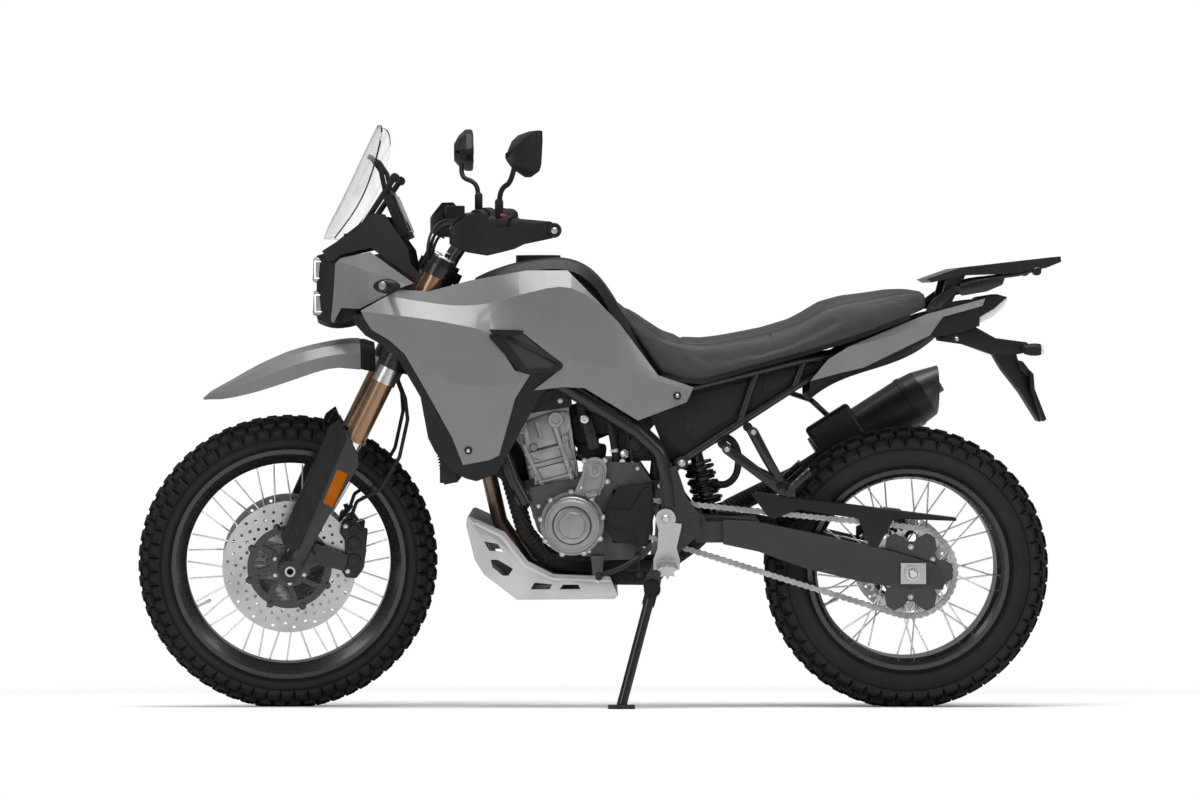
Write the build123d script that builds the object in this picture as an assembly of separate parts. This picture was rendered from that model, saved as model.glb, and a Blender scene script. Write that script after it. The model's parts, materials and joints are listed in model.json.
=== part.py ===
"""Adventure motorcycle on its side stand, one STEP file per named piece.

Everything is modelled upright with the steering straight ahead, in millimetres:
+X to the rear, -Y to the rider's left, +Z up, x = 0 midway between the axles.
The steered pieces are then turned to their resting angle, and the whole machine
is leaned onto its side stand, so that both tyres and the stand's foot meet z = 0.
"""
import os
from math import acos, asin, atan2, cos, degrees, hypot, pi, radians, sin, sqrt, tan

from build123d import *

os.makedirs("parts", exist_ok=True)

# ---------------------------------------------------------------- driving sizes
WHEELBASE = 1500.0
FRONT_TYRE_R = 356.0
REAR_TYRE_R = 340.0
FRONT_CROWN_R = 46.1
REAR_CROWN_R = 82.6
RAKE = 26.5
STEER_X = -474.0
STEER_Z = 816.0
FORK_OFFSET = 40.0
FORK_SPREAD = 105.0
STEER_REST = 9.0
LEAN = 8.0
FORK_TUBE_R = 25.0
STANCHION_R = 21.5
HANDLEBAR_R = 11.0
FRONT_AXLE_R = 12.5
REAR_AXLE_R = 12.5
AXLE_BORE_R = 8.0
FRONT_DISC_R = 160.0
REAR_DISC_R = 120.0
SPOKES = 36
SPOKE_R = 2.0
CHAIN_Y = -97.0
SPROCKET_R = 108.0
CHAIN_OUTER_R = 114.0
PANEL_WALL = 4.0
STAND_SPLAY = 16.7
STAND_FORWARD = 15.0
RACK_HOLE_R = 4.3

# clearances
BEARING_GAP = 0.08
SEAT_GAP = 0.25
SPOKE_GAP = 0.25
RUN_GAP = 5.0

FX = -WHEELBASE / 2
RX = WHEELBASE / 2
FZ = FRONT_TYRE_R
RZ = REAR_TYRE_R
STEER_DIR = Vector(sin(radians(RAKE)), 0, cos(radians(RAKE)))


# ---------------------------------------------------------------- helpers
def steer_x(z, ahead=0.0):
    """x of the steering axis at height z, or of a line a distance ahead of it."""
    return STEER_X + (z - STEER_Z) * tan(radians(RAKE)) - ahead / cos(radians(RAKE))


def on_fork(along, ahead=FORK_OFFSET, y=0.0):
    """Point a distance along the steering direction from the reference point."""
    base = Vector(STEER_X, y, STEER_Z)
    out = Vector(-cos(radians(RAKE)), 0, sin(radians(RAKE)))
    return base + STEER_DIR * along + out * ahead


def rod(a, b, r):
    """Round bar from a to b."""
    a = Vector(a)
    b = Vector(b)
    d = b - a
    return extrude(Plane(origin=a, z_dir=d) * Circle(r), d.length)


def pipe(a, b, r, ri):
    """Round tube from a to b."""
    a = Vector(a)
    b = Vector(b)
    d = b - a
    ring = Circle(r) - Circle(ri)
    return extrude(Plane(origin=a, z_dir=d) * ring, d.length)


def bent(points, bend, r, ri=0.0):
    """Bar or tube bent along a polyline with rounded corners."""
    path = FilletPolyline(*points, radius=bend)
    start = Plane(origin=path @ 0, z_dir=path % 0)
    section = Circle(r) if ri == 0 else Circle(r) - Circle(ri)
    return sweep(start * section, path=path)


def side_face(points, y):
    """Face at depth y from a closed outline of (x, z) points."""
    return make_face(Polyline(*[(x, y, z) for x, z in points], close=True))


def face_of(curves):
    """Face bounded by a closed chain of curves."""
    edges = []
    for curve in curves:
        edges.extend(curve.edges())
    return make_face(edges)


def side_plate(points, y0, y1):
    """Flat-sided block: a side outline carried from y0 to y1."""
    lo = min(y0, y1)
    return extrude(side_face(points, lo), abs(y1 - y0), dir=(0, 1, 0))


def turned(points, x, z):
    """Solid of revolution about the y-parallel axis at (x, z); points are (y, radius)."""
    face = make_face(Polyline(*[(x, y, z + r) for y, r in points], close=True))
    return revolve(face, axis=Axis((x, 0, z), (0, 1, 0)))


def across(x, z, y0, y1, r, ri=0.0):
    """Round bar or tube parallel to y."""
    if ri == 0:
        return rod((x, y0, z), (x, y1, z), r)
    return pipe((x, y0, z), (x, y1, z), r, ri)


def block(x0, x1, y0, y1, z0, z1):
    """Box between two corners."""
    centre = ((x0 + x1) / 2, (y0 + y1) / 2, (z0 + z1) / 2)
    return Pos(*centre) * Box(x1 - x0, y1 - y0, z1 - z0)


def pad_box(sx, sy, sz, r, axis=None):
    """Box at the origin with all edges, or those along one axis, rounded."""
    body = Box(sx, sy, sz)
    edges = body.edges() if axis is None else body.edges().filter_by(axis)
    return fillet(edges, r)


def loft_x(stations, ruled=False):
    """Loft through sections; each is x and the (y, z) corners of a closed outline."""
    faces = []
    for x, pts in stations:
        faces.append(make_face(Polyline(*[(x, y, z) for y, z in pts], close=True)))
    return loft(faces, ruled=ruled)


def mirror_y(shape):
    """The same piece on the other side of the machine."""
    return mirror(shape, about=Plane.XZ)


def both(shape):
    """A left piece and its mirror image."""
    return [shape, mirror_y(shape)]


def ring_points(count, first=0.0):
    """Evenly spaced angles in radians."""
    return [radians(first + 360.0 * i / count) for i in range(count)]


# ---------------------------------------------------------------- wheels
def tyre(x, z, outer, bead, half_bead, half_width, crown_half, shoulder, wall):
    """Hollow tyre: bead, sidewall and round crown, open towards the rim."""
    c = z
    lip = bead + 13.0
    mid_r = bead + (shoulder - bead) * 0.52

    def p(y, r):
        return (x, y, c + r)

    edges = [
        Polyline(p(-half_bead + 12, bead), p(-half_bead, bead), p(-half_bead, lip)),
        ThreePointArc(p(-half_bead, lip), p(-half_width, mid_r), p(-crown_half, shoulder)),
        ThreePointArc(p(-crown_half, shoulder), p(0, outer), p(crown_half, shoulder)),
        ThreePointArc(p(crown_half, shoulder), p(half_width, mid_r), p(half_bead, lip)),
        Polyline(p(half_bead, lip), p(half_bead, bead), p(half_bead - 12, bead)),
        Polyline(p(half_bead - 12, bead), p(half_bead - 10, lip)),
        ThreePointArc(
            p(half_bead - 10, lip), p(half_width - wall, mid_r), p(crown_half - wall, shoulder - wall)
        ),
        ThreePointArc(
            p(crown_half - wall, shoulder - wall), p(0, outer - wall - 3),
            p(wall - crown_half, shoulder - wall),
        ),
        ThreePointArc(
            p(wall - crown_half, shoulder - wall), p(wall - half_width, mid_r), p(10 - half_bead, lip)
        ),
        Polyline(p(10 - half_bead, lip), p(12 - half_bead, bead)),
    ]
    return revolve(face_of(edges), axis=Axis((x, 0, c), (0, 1, 0)))


def rim(x, z, inner, flange, bead, half_bead, half_well):
    """Rolled rim with two flanges, bead seats and a drop centre."""
    h = half_bead + 0.3
    b = bead - 0.3
    half = [
        (0, inner),
        (half_well, inner),
        (h - 2, b - 6),
        (h + 4, b + 2),
        (h + 4, flange),
        (h, flange),
        (h, b),
        (half_well + 2, b - 3),
        (half_well - 4, inner + 8),
        (0, inner + 8),
    ]
    pts = half[1:-1] + [(-y, r) for y, r in reversed(half[1:-1])]
    return turned(pts, x, z)


def spokes(x, z, hub_r, hub_half, flange_t, rim_r, rim_y, sweep_deg):
    """Laced spokes: half from outside each flange, half from inside, crossing."""
    made = []
    per_side = SPOKES // 2
    for side in (-1, 1):
        for i in range(per_side):
            outside = i % 2 == 0
            turn = sweep_deg if outside else -sweep_deg
            a0 = radians(360.0 * i / per_side + (0 if side < 0 else 360.0 / SPOKES))
            a1 = a0 + radians(turn)
            off = flange_t / 2 + SPOKE_R + 0.8
            y0 = side * (hub_half + (off if outside else -off))
            y1 = side * (rim_y + (2.2 if outside else -2.2))
            p0 = Vector(x + hub_r * cos(a0), y0, z + hub_r * sin(a0))
            p1 = Vector(x + rim_r * cos(a1), y1, z + rim_r * sin(a1))
            d = (p1 - p0).normalized()
            p1 = p1 - d * 3.0
            made.append(rod(p0, p1, SPOKE_R))
    return made


def hub(x, z, half, barrel_r, flange_r, flange_y, flange_t, axle_r):
    """Hub barrel with two spoke flanges and a bearing seat at each end."""
    t = flange_t / 2
    pts = [
        (-half, axle_r + 12),
        (-flange_y - t, axle_r + 12),
        (-flange_y - t, flange_r),
        (-flange_y + t, flange_r),
        (-flange_y + t, barrel_r),
        (flange_y - t, barrel_r),
        (flange_y - t, flange_r),
        (flange_y + t, flange_r),
        (flange_y + t, axle_r + 12),
        (half, axle_r + 12),
        (half, axle_r + BEARING_GAP),
        (half - 14, axle_r + BEARING_GAP),
        (half - 14, axle_r + 4),
        (14 - half, axle_r + 4),
        (14 - half, axle_r + BEARING_GAP),
        (-half, axle_r + BEARING_GAP),
    ]
    return turned(pts, x, z)


def disc_ring(x, z, y, t, r_out, r_in, holes, hole_r):
    """Brake rotor ring with rows of drilled holes."""
    ring = across(x, z, y - t / 2, y + t / 2, r_out, r_in)
    cuts = []
    mid = (r_out + r_in) / 2
    step = (r_out - r_in) * 0.27
    for i, a in enumerate(ring_points(holes)):
        r = mid + step * ((i % 3) - 1)
        cuts.append(across(x + r * cos(a), z + r * sin(a), y - t, y + t, hole_r))
    return ring - cuts


def carrier(x, z, y, t, r_out, r_in, slots):
    """Disc carrier: a ring with curved-looking windows and outer lugs."""
    body = across(x, z, y - t / 2, y + t / 2, r_out, r_in)
    cuts = []
    for a in ring_points(slots):
        r = (r_out + r_in) / 2
        deep = (r_out - r_in) * 0.62
        wide = pi * r / slots * 1.05
        x_dir = (cos(a), 0, sin(a)) if deep > wide else (-sin(a), 0, cos(a))
        w = Plane(origin=(x + r * cos(a), y - t, z + r * sin(a)), z_dir=(0, 1, 0), x_dir=x_dir)
        cuts.append(extrude(w * SlotOverall(max(deep, wide), min(deep, wide)), 2 * t))
    return body - cuts


front_tyre = tyre(FX, FZ, FRONT_TYRE_R, 268.5, 29.5, 45.5, 38.0, 336.0, 7.0)
front_rim = rim(FX, FZ, 246.0, 281.0, 268.5, 29.5, 15.0)
front_spokes = spokes(FX, FZ, 39.5, 32.0, 5.0, 246.0, 5.0, 42.0)
front_hub = hub(FX, FZ, 52.0, 25.0, 42.0, 32.0, 5.0, FRONT_AXLE_R)
front_discs = []
front_carriers = []
for y in (-62.0, 62.0):
    front_discs.append(disc_ring(FX, FZ, y, 4.5, FRONT_DISC_R, 128.0, 36, 3.6))
    c = carrier(FX, FZ, y * 0.985, 5.0, 127.75, 46.0, 10)
    lo, hi = sorted((52.3 if y > 0 else -52.3, y * 0.985 + (2.5 if y > 0 else -2.5)))
    c += across(FX, FZ, lo, hi, 50.0, FRONT_AXLE_R + 8.0)
    front_carriers.append(c)

rear_tyre = tyre(RX, RZ, REAR_TYRE_R, 231.0, 51.0, 75.0, 62.0, 312.0, 9.0)
rear_rim = rim(RX, RZ, 218.0, 243.5, 231.0, 51.0, 30.0)
rear_spokes = spokes(RX, RZ, 55.0, 40.0, 6.0, 218.0, 14.0, 36.0)
rear_hub = hub(RX, RZ, 62.0, 38.0, 58.0, 40.0, 6.0, REAR_AXLE_R)
rear_disc = disc_ring(RX, RZ, 88.0, 5.0, REAR_DISC_R, 88.0, 27, 3.6)
rear_carrier = carrier(RX, RZ, 88.0, 4.5, 87.75, 46.0, 6)
rear_carrier += across(RX, RZ, 62.3, 90.25, 48.0, REAR_AXLE_R + 6.0)

TEETH = 44
outline = []
for a in ring_points(TEETH):
    for turn, r in ((-0.3, -7.5), (-0.1, 0.0), (0.1, 0.0), (0.3, -7.5)):
        way = a + turn * 2 * pi / TEETH
        outline.append((RX + (SPROCKET_R + r) * cos(way), RZ + (SPROCKET_R + r) * sin(way)))
sprocket = side_plate(outline, CHAIN_Y - 3.0, CHAIN_Y + 3.0)
sprocket -= across(RX, RZ, CHAIN_Y - 5.0, CHAIN_Y + 5.0, 62.0)
for a in ring_points(6, 30.0):
    cut = across(RX + 85 * cos(a), RZ + 85 * sin(a), CHAIN_Y - 5, CHAIN_Y + 5, 15.0)
    sprocket -= cut
cush = turned(
    [
        (CHAIN_Y + 3.25, REAR_AXLE_R + 8),
        (CHAIN_Y + 3.25, 72.0),
        (CHAIN_Y + 12.0, 72.0),
        (CHAIN_Y + 22.0, 62.0),
        (-62.3, 62.0),
        (-62.3, REAR_AXLE_R + 8),
    ],
    RX,
    RZ,
)
rear_sprocket = sprocket + across(RX, RZ, CHAIN_Y - 3.0, CHAIN_Y + 3.0, 66.0, 40.0)


# ---------------------------------------------------------------- fork and steering
def fork_leg(r, lo, hi, y, ri=0.0):
    """Part of a fork leg between two stations along the leg."""
    a = on_fork(lo, FORK_OFFSET, y)
    b = on_fork(hi, FORK_OFFSET, y)
    return rod(a, b, r) if ri == 0 else pipe(a, b, r, ri)


fork_outer_tubes = []
fork_inner_tubes = []
fork_bottoms = []
fork_guards = []
for y in (-FORK_SPREAD, FORK_SPREAD):
    tube = fork_leg(FORK_TUBE_R, -190, 288, y, 22.5)
    cap = fork_leg(22.0, 270, 296, y)
    fork_outer_tubes.append(tube + fork_leg(28.0, -190, -182, y, 22.5) + cap)
    fork_inner_tubes.append(fork_leg(STANCHION_R, -452, -150, y))
    lug = fork_leg(26.0, -512, -452.3, y)
    lug += across(FX, FZ, y - 22, y + 22, 27.0)
    arm = side_plate(
        [(FX - 16, FZ - 8), (FX + 4, FZ - 20), (FX + 62, FZ + 34), (FX + 36, FZ + 62),
         (FX + 8, FZ + 48)],
        y - 14, y + 14,
    )
    lug = lug + arm
    lug -= across(FX, FZ, y - 40, y + 40, FRONT_AXLE_R + 0.05)
    fork_bottoms.append(lug)

front_axle = across(FX, FZ, -FORK_SPREAD - 24, FORK_SPREAD + 24, FRONT_AXLE_R, AXLE_BORE_R)
for s in (-1, 1):
    lo = s * 52.3
    hi = s * (FORK_SPREAD - 22.3)
    front_axle += across(FX, FZ, min(lo, hi), max(lo, hi), 18.0, FRONT_AXLE_R - 0.5)

# guards over the inner tubes, swept to the rear and down
for s in (-1, 1):
    y = s * FORK_SPREAD
    outline = [(-613, 716), (-604, 694), (-598, 690), (-584, 655), (-569, 620), (-581, 560),
               (-640, 440), (-679, 400), (-731, 405), (-752, 440), (-745, 458), (-700, 545),
               (-655, 640)]
    plate = side_plate(outline, s * 133.3, s * 137.3)
    guard = plate
    a = on_fork(-450, FORK_OFFSET, y)
    b = on_fork(-196, FORK_OFFSET, y)
    guard += pipe(a, b, 33.0, 28.3) & side_plate(
        [(-860, 380), (-700, 400), (-540, 720), (-700, 780)], s * 60, s * 138)
    fork_guards.append(guard)


def clamp(along, t):
    """Triple clamp: fork bosses, a bridge and the stem boss."""
    def at(dx, dy, d0, d1, r):
        a = on_fork(along - t / 2 + d0, dx, dy)
        b = on_fork(along + t / 2 + d1, dx, dy)
        return rod(a, b, r)

    body = at(FORK_OFFSET, -FORK_SPREAD, 0, 0, 34.0)
    body += at(FORK_OFFSET, FORK_SPREAD, 0, 0, 34.0)
    body += at(0, 0, 0, 0, 28.0)
    plane = Plane(origin=on_fork(along - t / 2, 0, 0), x_dir=(0, 1, 0), z_dir=STEER_DIR)
    web = Polyline((-100, 62), (-30, 56), (30, 56), (100, 62), (112, 20), (28, -24), (-28, -24),
                   (-112, 20), close=True)
    face = make_face(plane * web)
    body += extrude(face, t * 0.85, dir=STEER_DIR)
    for s in (-1, 1):
        a = on_fork(along - t, FORK_OFFSET, s * FORK_SPREAD)
        b = on_fork(along + t, FORK_OFFSET, s * FORK_SPREAD)
        body -= rod(a, b, FORK_TUBE_R + 0.1)
    return body


UPPER = 262.0
LOWER = 22.0
STEM_R = 15.0
triple_clamps = clamp(UPPER, 28.0) + clamp(LOWER, 34.0)
triple_clamps += rod(on_fork(LOWER - 16, 0), on_fork(UPPER + 26, 0), STEM_R)

# handlebar: risers, clamp and bent bar
BAR_X = -306.0
BAR_Z = 1162.0
bar_half = [(BAR_X, 0, BAR_Z), (BAR_X, 62, BAR_Z), (BAR_X + 20, 185, BAR_Z + 24),
            (BAR_X + 141, 428, BAR_Z + 20)]
bar_pts = [(x, -y, z) for x, y, z in reversed(bar_half[1:])] + bar_half[1:]
handlebar = bent(bar_pts, 55.0, HANDLEBAR_R)
for s in (-1, 1):
    base = on_fork(UPPER + 14.2, 14, s * 38)
    knee = on_fork(UPPER + 46, 14, s * 38)
    handlebar += rod(base, knee, 15.0) + rod(knee, (BAR_X, s * 38, BAR_Z), 15.0)
    handlebar += across(BAR_X, BAR_Z, s * 38 - 15, s * 38 + 15, 19.0)


def along_bar(t, dx=0.0, dz=0.0, s=-1):
    """Point on the straight grip part; t = 0 at the inner bend and 1 at the end."""
    a = Vector(BAR_X + 20, 185, BAR_Z + 24)
    b = Vector(BAR_X + 141, 428, BAR_Z + 20)
    p = a + (b - a) * t
    return Vector(p.X + dx, s * p.Y, p.Z + dz)


MIRROR_BACK = 20.0
MIRROR_BACK_RIGHT = -48.0
MIRROR_TURN = 20.0


def mirror_head():
    """Tapered mirror housing about its glass, which faces the rear."""
    outline = [(12, 150, 92, 24, 0), (8, 154, 96, 26, 0), (-8, 150, 92, 26, 0),
               (-30, 104, 62, 22, -8), (-40, 70, 36, 14, -14)]
    faces = []
    for x, wide, high, r, drop in outline:
        faces.append(Pos(x, 0, drop) * Plane.YZ * RectangleRounded(wide, high, r))
    return loft(faces, ruled=True)


hand_controls = []
handguards = []
mirrors = []
for s in (-1, 1):
    grip = pipe(along_bar(0.48, s=s), along_bar(0.99, s=s), 17.0, HANDLEBAR_R + 0.1)
    switch = pipe(along_bar(0.27, s=s), along_bar(0.45, s=s), 22.0, HANDLEBAR_R + 0.1)
    switch += pipe(along_bar(0.10, s=s), along_bar(0.25, s=s), 18.0, HANDLEBAR_R + 0.1)
    perch = rod(along_bar(0.18, -18, 0, s), along_bar(0.22, -52, -4, s), 11.0)
    lever = bent([along_bar(0.22, -50, -4, s), along_bar(0.34, -74, -10, s),
                  along_bar(0.94, -56, -14, s)], 20.0, 6.5)
    tank = block(-46, 0, -19, 19, 0, 30)
    cup = Pos(along_bar(0.16, -35, -3, s)) * tank
    if s > 0:
        hand_controls.append(grip + switch + perch + lever + cup)
    else:
        hand_controls.append(grip + switch + perch + lever)
    path = [(-352, 232), (-379, 300), (-352, 386), (-280, 440), (-150, 454)]
    outer = Spline(*[(x, s * y, 0) for x, y in path])
    wall = sweep(
        Plane(origin=outer @ 0, x_dir=(0, 0, 1), z_dir=outer % 0) * Rectangle(200, 4.0), path=outer
    )
    wall = Pos(0, 0, 1140) * wall
    shape = side_plate(
        [(-398, 1160), (-344, 1215), (-313, 1215), (-282, 1183), (-176, 1199), (-158, 1194),
         (-153, 1180), (-162, 1162), (-225, 1149), (-247, 1138), (-306, 1122), (-349, 1128),
         (-398, 1150)],
        -470, 470,
    )
    out = along_bar(1.0, s=s)
    way = (out - along_bar(0.9, s=s)).normalized()
    stay = rod(out + way * 0.3, out + way * 14, 10.5)
    stay += rod(out + way * 7, Vector(-162, s * 454, 1181), 8.0)
    handguards.append((wall & shape) + stay)
    back = MIRROR_BACK if s < 0 else MIRROR_BACK_RIGHT
    stem = bent([along_bar(0.30, -2, 22.6, s), along_bar(0.30, -2, 84, s),
                 along_bar(0.66, back - 12, 142, s)], 20.0, 6.0)
    stem += rod(along_bar(0.30, -2, 22.6, s), along_bar(0.30, -2, 58, s), 9.5)
    glass = Pos(along_bar(0.72, back, 168, s)) * Rot(0, 4, s * -MIRROR_TURN)
    mirrors.append(stem + glass * mirror_head())

brake_hoses = []
for s in (-1, 1):
    top = on_fork(LOWER - 17.4, 8, s * 60)
    low = on_fork(LOWER - 36, 8, s * 61)
    hose = bent([top, low, (-470, s * 72, 760), (-466, s * 90, 712), (-486, s * 90, 622),
                 (-530, s * 84, 545), (-588, s * 64, 512), (-600, s * 62, 478)], 14.0, 4.5)
    hose += rod((-600, s * 62, 484), (-600, s * 62, 472.7), 8.0)
    brake_hoses.append(hose)

# fender over the front wheel, carried under the lower clamp
FENDER = [(-949, 762, 16, 740), (-900, 800, 44, 768), (-818, 854, 66, 808), (-725, 881, 74, 828),
          (-650, 894, 74, 834), (-590, 892, 64, 832)]


def fender_section(row, drop):
    x, top, half, low = row
    z = top - drop
    h = half - drop
    base = low + (0 if drop == 0 else -2)
    return (x, [(-h, base), (-h * 0.92, base + (z - base) * 0.55), (-h * 0.55, z - 3),
                (0, z), (h * 0.55, z - 3), (h * 0.92, base + (z - base) * 0.55), (h, base)])


front_fender = loft_x([fender_section(r, 0) for r in FENDER])
inner = [fender_section((r[0] + (12 if i == 0 else 0), r[1], r[2], r[3]), 4.0)
         for i, r in enumerate(FENDER)]
inner.append(fender_section((-570, 890, 62, 830), 4.0))
front_fender -= loft_x(inner)
front_fender += block(-604, -520.4, -26, 26, 850, 866)
front_fender += block(-606, -592, -26, 26, 852, 889)

front_calipers = []
for s in (-1, 1):
    y = s * 62.0
    outline = [(FX + 126, FZ - 30), (FX + 178, FZ - 20), (FX + 186, FZ + 60), (FX + 168, FZ + 118),
               (FX + 132, FZ + 112), (FX + 122, FZ + 40)]
    body = side_plate(outline, y - 24, y + 24)
    gap = across(FX, FZ, y - 4.5, y + 4.5, FRONT_DISC_R + 5)
    front_calipers.append(body - gap)
    arm = side_plate([(FX + 34, FZ + 18), (FX + 130, FZ - 8), (FX + 140, FZ + 30),
                      (FX + 60, FZ + 62)], s * 86.3, s * 93)
    fork_bottoms.append(arm)


# ---------------------------------------------------------------- frame
def spar(s):
    """Main spar from the head tube round the engine to the swingarm pivot."""
    pts = [(-392, s * 18, 930), (-318, s * 52, 892), (-200, s * 110, 838), (-76, s * 122, 786),
           (95, s * 124, 679), (150, s * 125, 628), (166, s * 125, 556), (172, s * 125, 500)]
    return bent(pts, 40.0, 18.0)


def down_tube(s, r):
    """Front down tube from the head tube to the front of the engine."""
    pts = [(-402, s * 14, 890), (-318, s * 76, 796), (-236, s * 122, 670), (-196, s * 124, 560),
           (-168, s * 124, 508)]
    return bent(pts, 36.0, r)


FORGED = [(150, 590), (188, 598), (214, 520), (244, 480), (244, 436), (196, 392), (152, 326),
          (146, 292), (114, 286), (108, 318), (148, 400), (154, 480), (148, 560)]
STAND_PIVOT = Vector(130.0, -152.0, 305.0)
beta = radians(STAND_SPLAY)
down = Vector(0, -sin(beta), -cos(beta))
rest_dir = Vector(-sin(radians(STAND_FORWARD)), 0, 0) + down * cos(radians(STAND_FORWARD))
stand_axis = Vector(0, -cos(beta), sin(beta))
PIVOT = (229.0, 460.0)
FORGED_RIGHT = FORGED[:6] + [(160, 386)] + FORGED[10:]

head_low = on_fork(42, 0)
head_high = on_fork(UPPER - 18, 0)
main_frame = rod(head_low, head_high, 27.0)
for s in (-1, 1):
    main_frame += spar(s)
    main_frame += down_tube(s, 14.0)
    main_frame += rod((-150, s * 119, 815), (-228, s * 119, 668), 13.0)
    main_frame += side_plate(FORGED if s < 0 else FORGED_RIGHT, s * 113, s * 137)
main_frame += across(178, 580, -130, 130, 12.0)
main_frame += across(172, 386, -128, 128, 8.0)
main_frame -= rod(on_fork(30, 0), on_fork(UPPER - 10, 0), 21.0)
main_frame += pipe(on_fork(42, 0), on_fork(56, 0), 27.0, STEM_R + BEARING_GAP)
main_frame += pipe(on_fork(UPPER - 34, 0), on_fork(UPPER - 18, 0), 27.0, STEM_R + BEARING_GAP)
main_frame += across(PIVOT[0], PIVOT[1], -140, 140, 10.0)
main_frame += rod(STAND_PIVOT - stand_axis * 38, STAND_PIVOT - stand_axis * 9.4, 17.0)
main_frame += rod(STAND_PIVOT - stand_axis * 20, STAND_PIVOT + stand_axis * 15, 8.0)
main_frame += rod(STAND_PIVOT + stand_axis * 9.4, STAND_PIVOT + stand_axis * 15, 14.0)

RAIL_Y = 96.0
subframe = None
for s in (-1, 1):
    y = s * RAIL_Y
    low = bent([(206, y, 610), (478, y, 787), (640, s * 86, 868), (794, s * 62, 925)], 60.0, 9.5)
    up = bent([(150, y, 770), (239, y, 784.9), (483, y, 846), (634, s * 86.4, 867.2)], 60.0, 10.0)
    one = low + up
    one += rod((339, y, 697), (380, y, 818), 9.0)
    one += rod((471, y, 783), (494, y, 845), 9.0)
    one += rod((210, y, 612.5), (182, y, 585), 9.5) + across(202, 603, y - 12, y + 12, 15.0)
    subframe = one if subframe is None else subframe + one
subframe -= across(178, 580, -140, 140, 12.3)
subframe += across(640, 868, -86, 86, 9.0)
subframe += across(239, 784.9, -RAIL_Y, RAIL_Y, 9.0)
subframe += across(228, 624.5, -RAIL_Y, RAIL_Y, 9.0)
subframe += across(785, 921.7, -63.4, 63.4, 8.0)

# ---------------------------------------------------------------- engine
CS = (96.0, 476.0)
CSR = 40.0
engine_crankcase = side_plate(
    [(-168, 524), (-160, 545), (-34, 568.8), (4, 606), (100, 604), (130, 560), (134, 440),
     (128, 394), (110, 372), (20, 370), (-10, 378), (-96, 392), (-142, 440)], -108, 108)
for s in (-1, 1):
    engine_crankcase += side_plate([(-16, 382), (16, 382), (10, 326), (-10, 326)],
                                   s * 98, s * 123.7)
engine_crankcase -= block(36, 200, -120, -84, 412, 540)
engine_crankcase += across(CS[0], CS[1], -84.2, -80, 24.0)
engine_crankcase += across(CS[0], CS[1], -100, -94, CSR - 1.5) + across(
    CS[0], CS[1], -108, -84, 18.0)
STATOR = (-60.0, 459.0)
stator_cover = turned([(-120, 0), (-120, 76), (-108.2, 76), (-108.2, 0)], *STATOR)
stator_cover += turned([(-172, 0), (-172, 30), (-168, 34), (-168, 44), (-172, 47), (-172, 58),
                        (-164, 68), (-118, 69), (-118, 0)], *STATOR)
for i in range(9):
    turn = radians(12 + 40 * i)
    stator_cover += across(STATOR[0] + 75 * cos(turn), STATOR[1] + 75 * sin(turn), -126, -108.2, 7.5)
pump_cover = across(-6, 589, -128, -108.2, 29.0)
pump_cover += side_plate([(-34, 582), (-56, 530), (-8, 520), (16, 548), (22, 580)], -128, -108.2)
pump_cover += across(-6, 589, -134, -120, 19.0)
for x, z in ((-38, 545), (-30, 609), (18, 610), (24, 560)):
    pump_cover += across(x, z, -124, -108.2, 7.0)
stator_cover += pump_cover
engine_covers = [stator_cover]
sprocket_cover = side_plate([(20, 502), (50, 546), (130, 556), (136, 482), (118, 404), (42, 417),
                             (17, 446)], -130, -108.2)
sprocket_cover += side_plate([(26, 496), (78, 492), (112, 545), (124, 546), (129, 484), (113, 412),
                              (102, 412), (80, 452), (24, 450)], -136, -128)
sprocket_cover -= turned([(-140, 0), (-140, 77), (-100, 77), (-100, 0)], *STATOR)
engine_covers.append(sprocket_cover)
engine_covers.append(across(-40, 470, 108.2, 160, 88.0) + across(-40, 470, 150, 168, 60.0))
cyl = side_plate([(-192, 712), (-68, 735), (-46, 567.0), (-159.6, 545.4)], -84, 92)
for lo, hi in (((-148, 550), (-180, 708)), ((-64, 566), (-88, 724))):
    cyl += rod((lo[0], -84, lo[1]), (hi[0], -84, hi[1]), 12.0)
for z in (606, 660):
    x = -110 - (z - 600) * 0.165
    cyl += Pos(x, -86, z) * Rot(0, 9.5, 0) * pad_box(106, 14, 9, 3.0)
cyl = cyl & side_plate([(-206, 709.4), (-60, 736.4), (-36, 569.4), (-164, 545.2)], -100, 100)
head = side_plate([(-199, 711), (-62, 736.5), (-68, 798), (-92, 806), (-196, 784), (-208, 768)],
                  -90, 98)
for x, z in ((-184, 734), (-88, 752)):
    head += across(x, z, -102, -88, 17.0)
    head += across(x, z, -106, -100, 9.0)
head += side_plate([(-200, 748), (-70, 770), (-72, 782), (-202, 760)], -96, -88)
PORTS = [(Vector(-208.5, -52, 690), Vector(-250, -54, 670)),
         (Vector(-208.5, 52, 690), Vector(-284, 54, 650))]
for port, bend_at in PORTS:
    way = (port - bend_at).normalized()
    head += rod(port + way * 32, port + way * 0.3, 23.0)
engine_cylinders = cyl + head

air_box = side_plate([(-48, 774), (95, 706), (128, 658), (140, 605.2), (70, 605.2), (52, 622),
                      (50, 668), (-6, 672), (-22, 692), (-46, 700)], -70, 70)
air_box = fillet(air_box.edges().filter_by(Axis.Y), 6.0)
air_box += across(92, 640, -84, -68, 24.0)
air_box += bent([(46, -78, 700), (42, -80, 660), (44, -76, 610)], 12.0, 9.0)
air_box += bent([(20, -66, 716), (30, -84, 712), (46, -78, 700), (46, -78, 690)], 8.0, 9.0)
air_box += Pos(-34, -72, 716) * Rot(0, -10, 0) * pad_box(28, 30, 66, 8.0)

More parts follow.
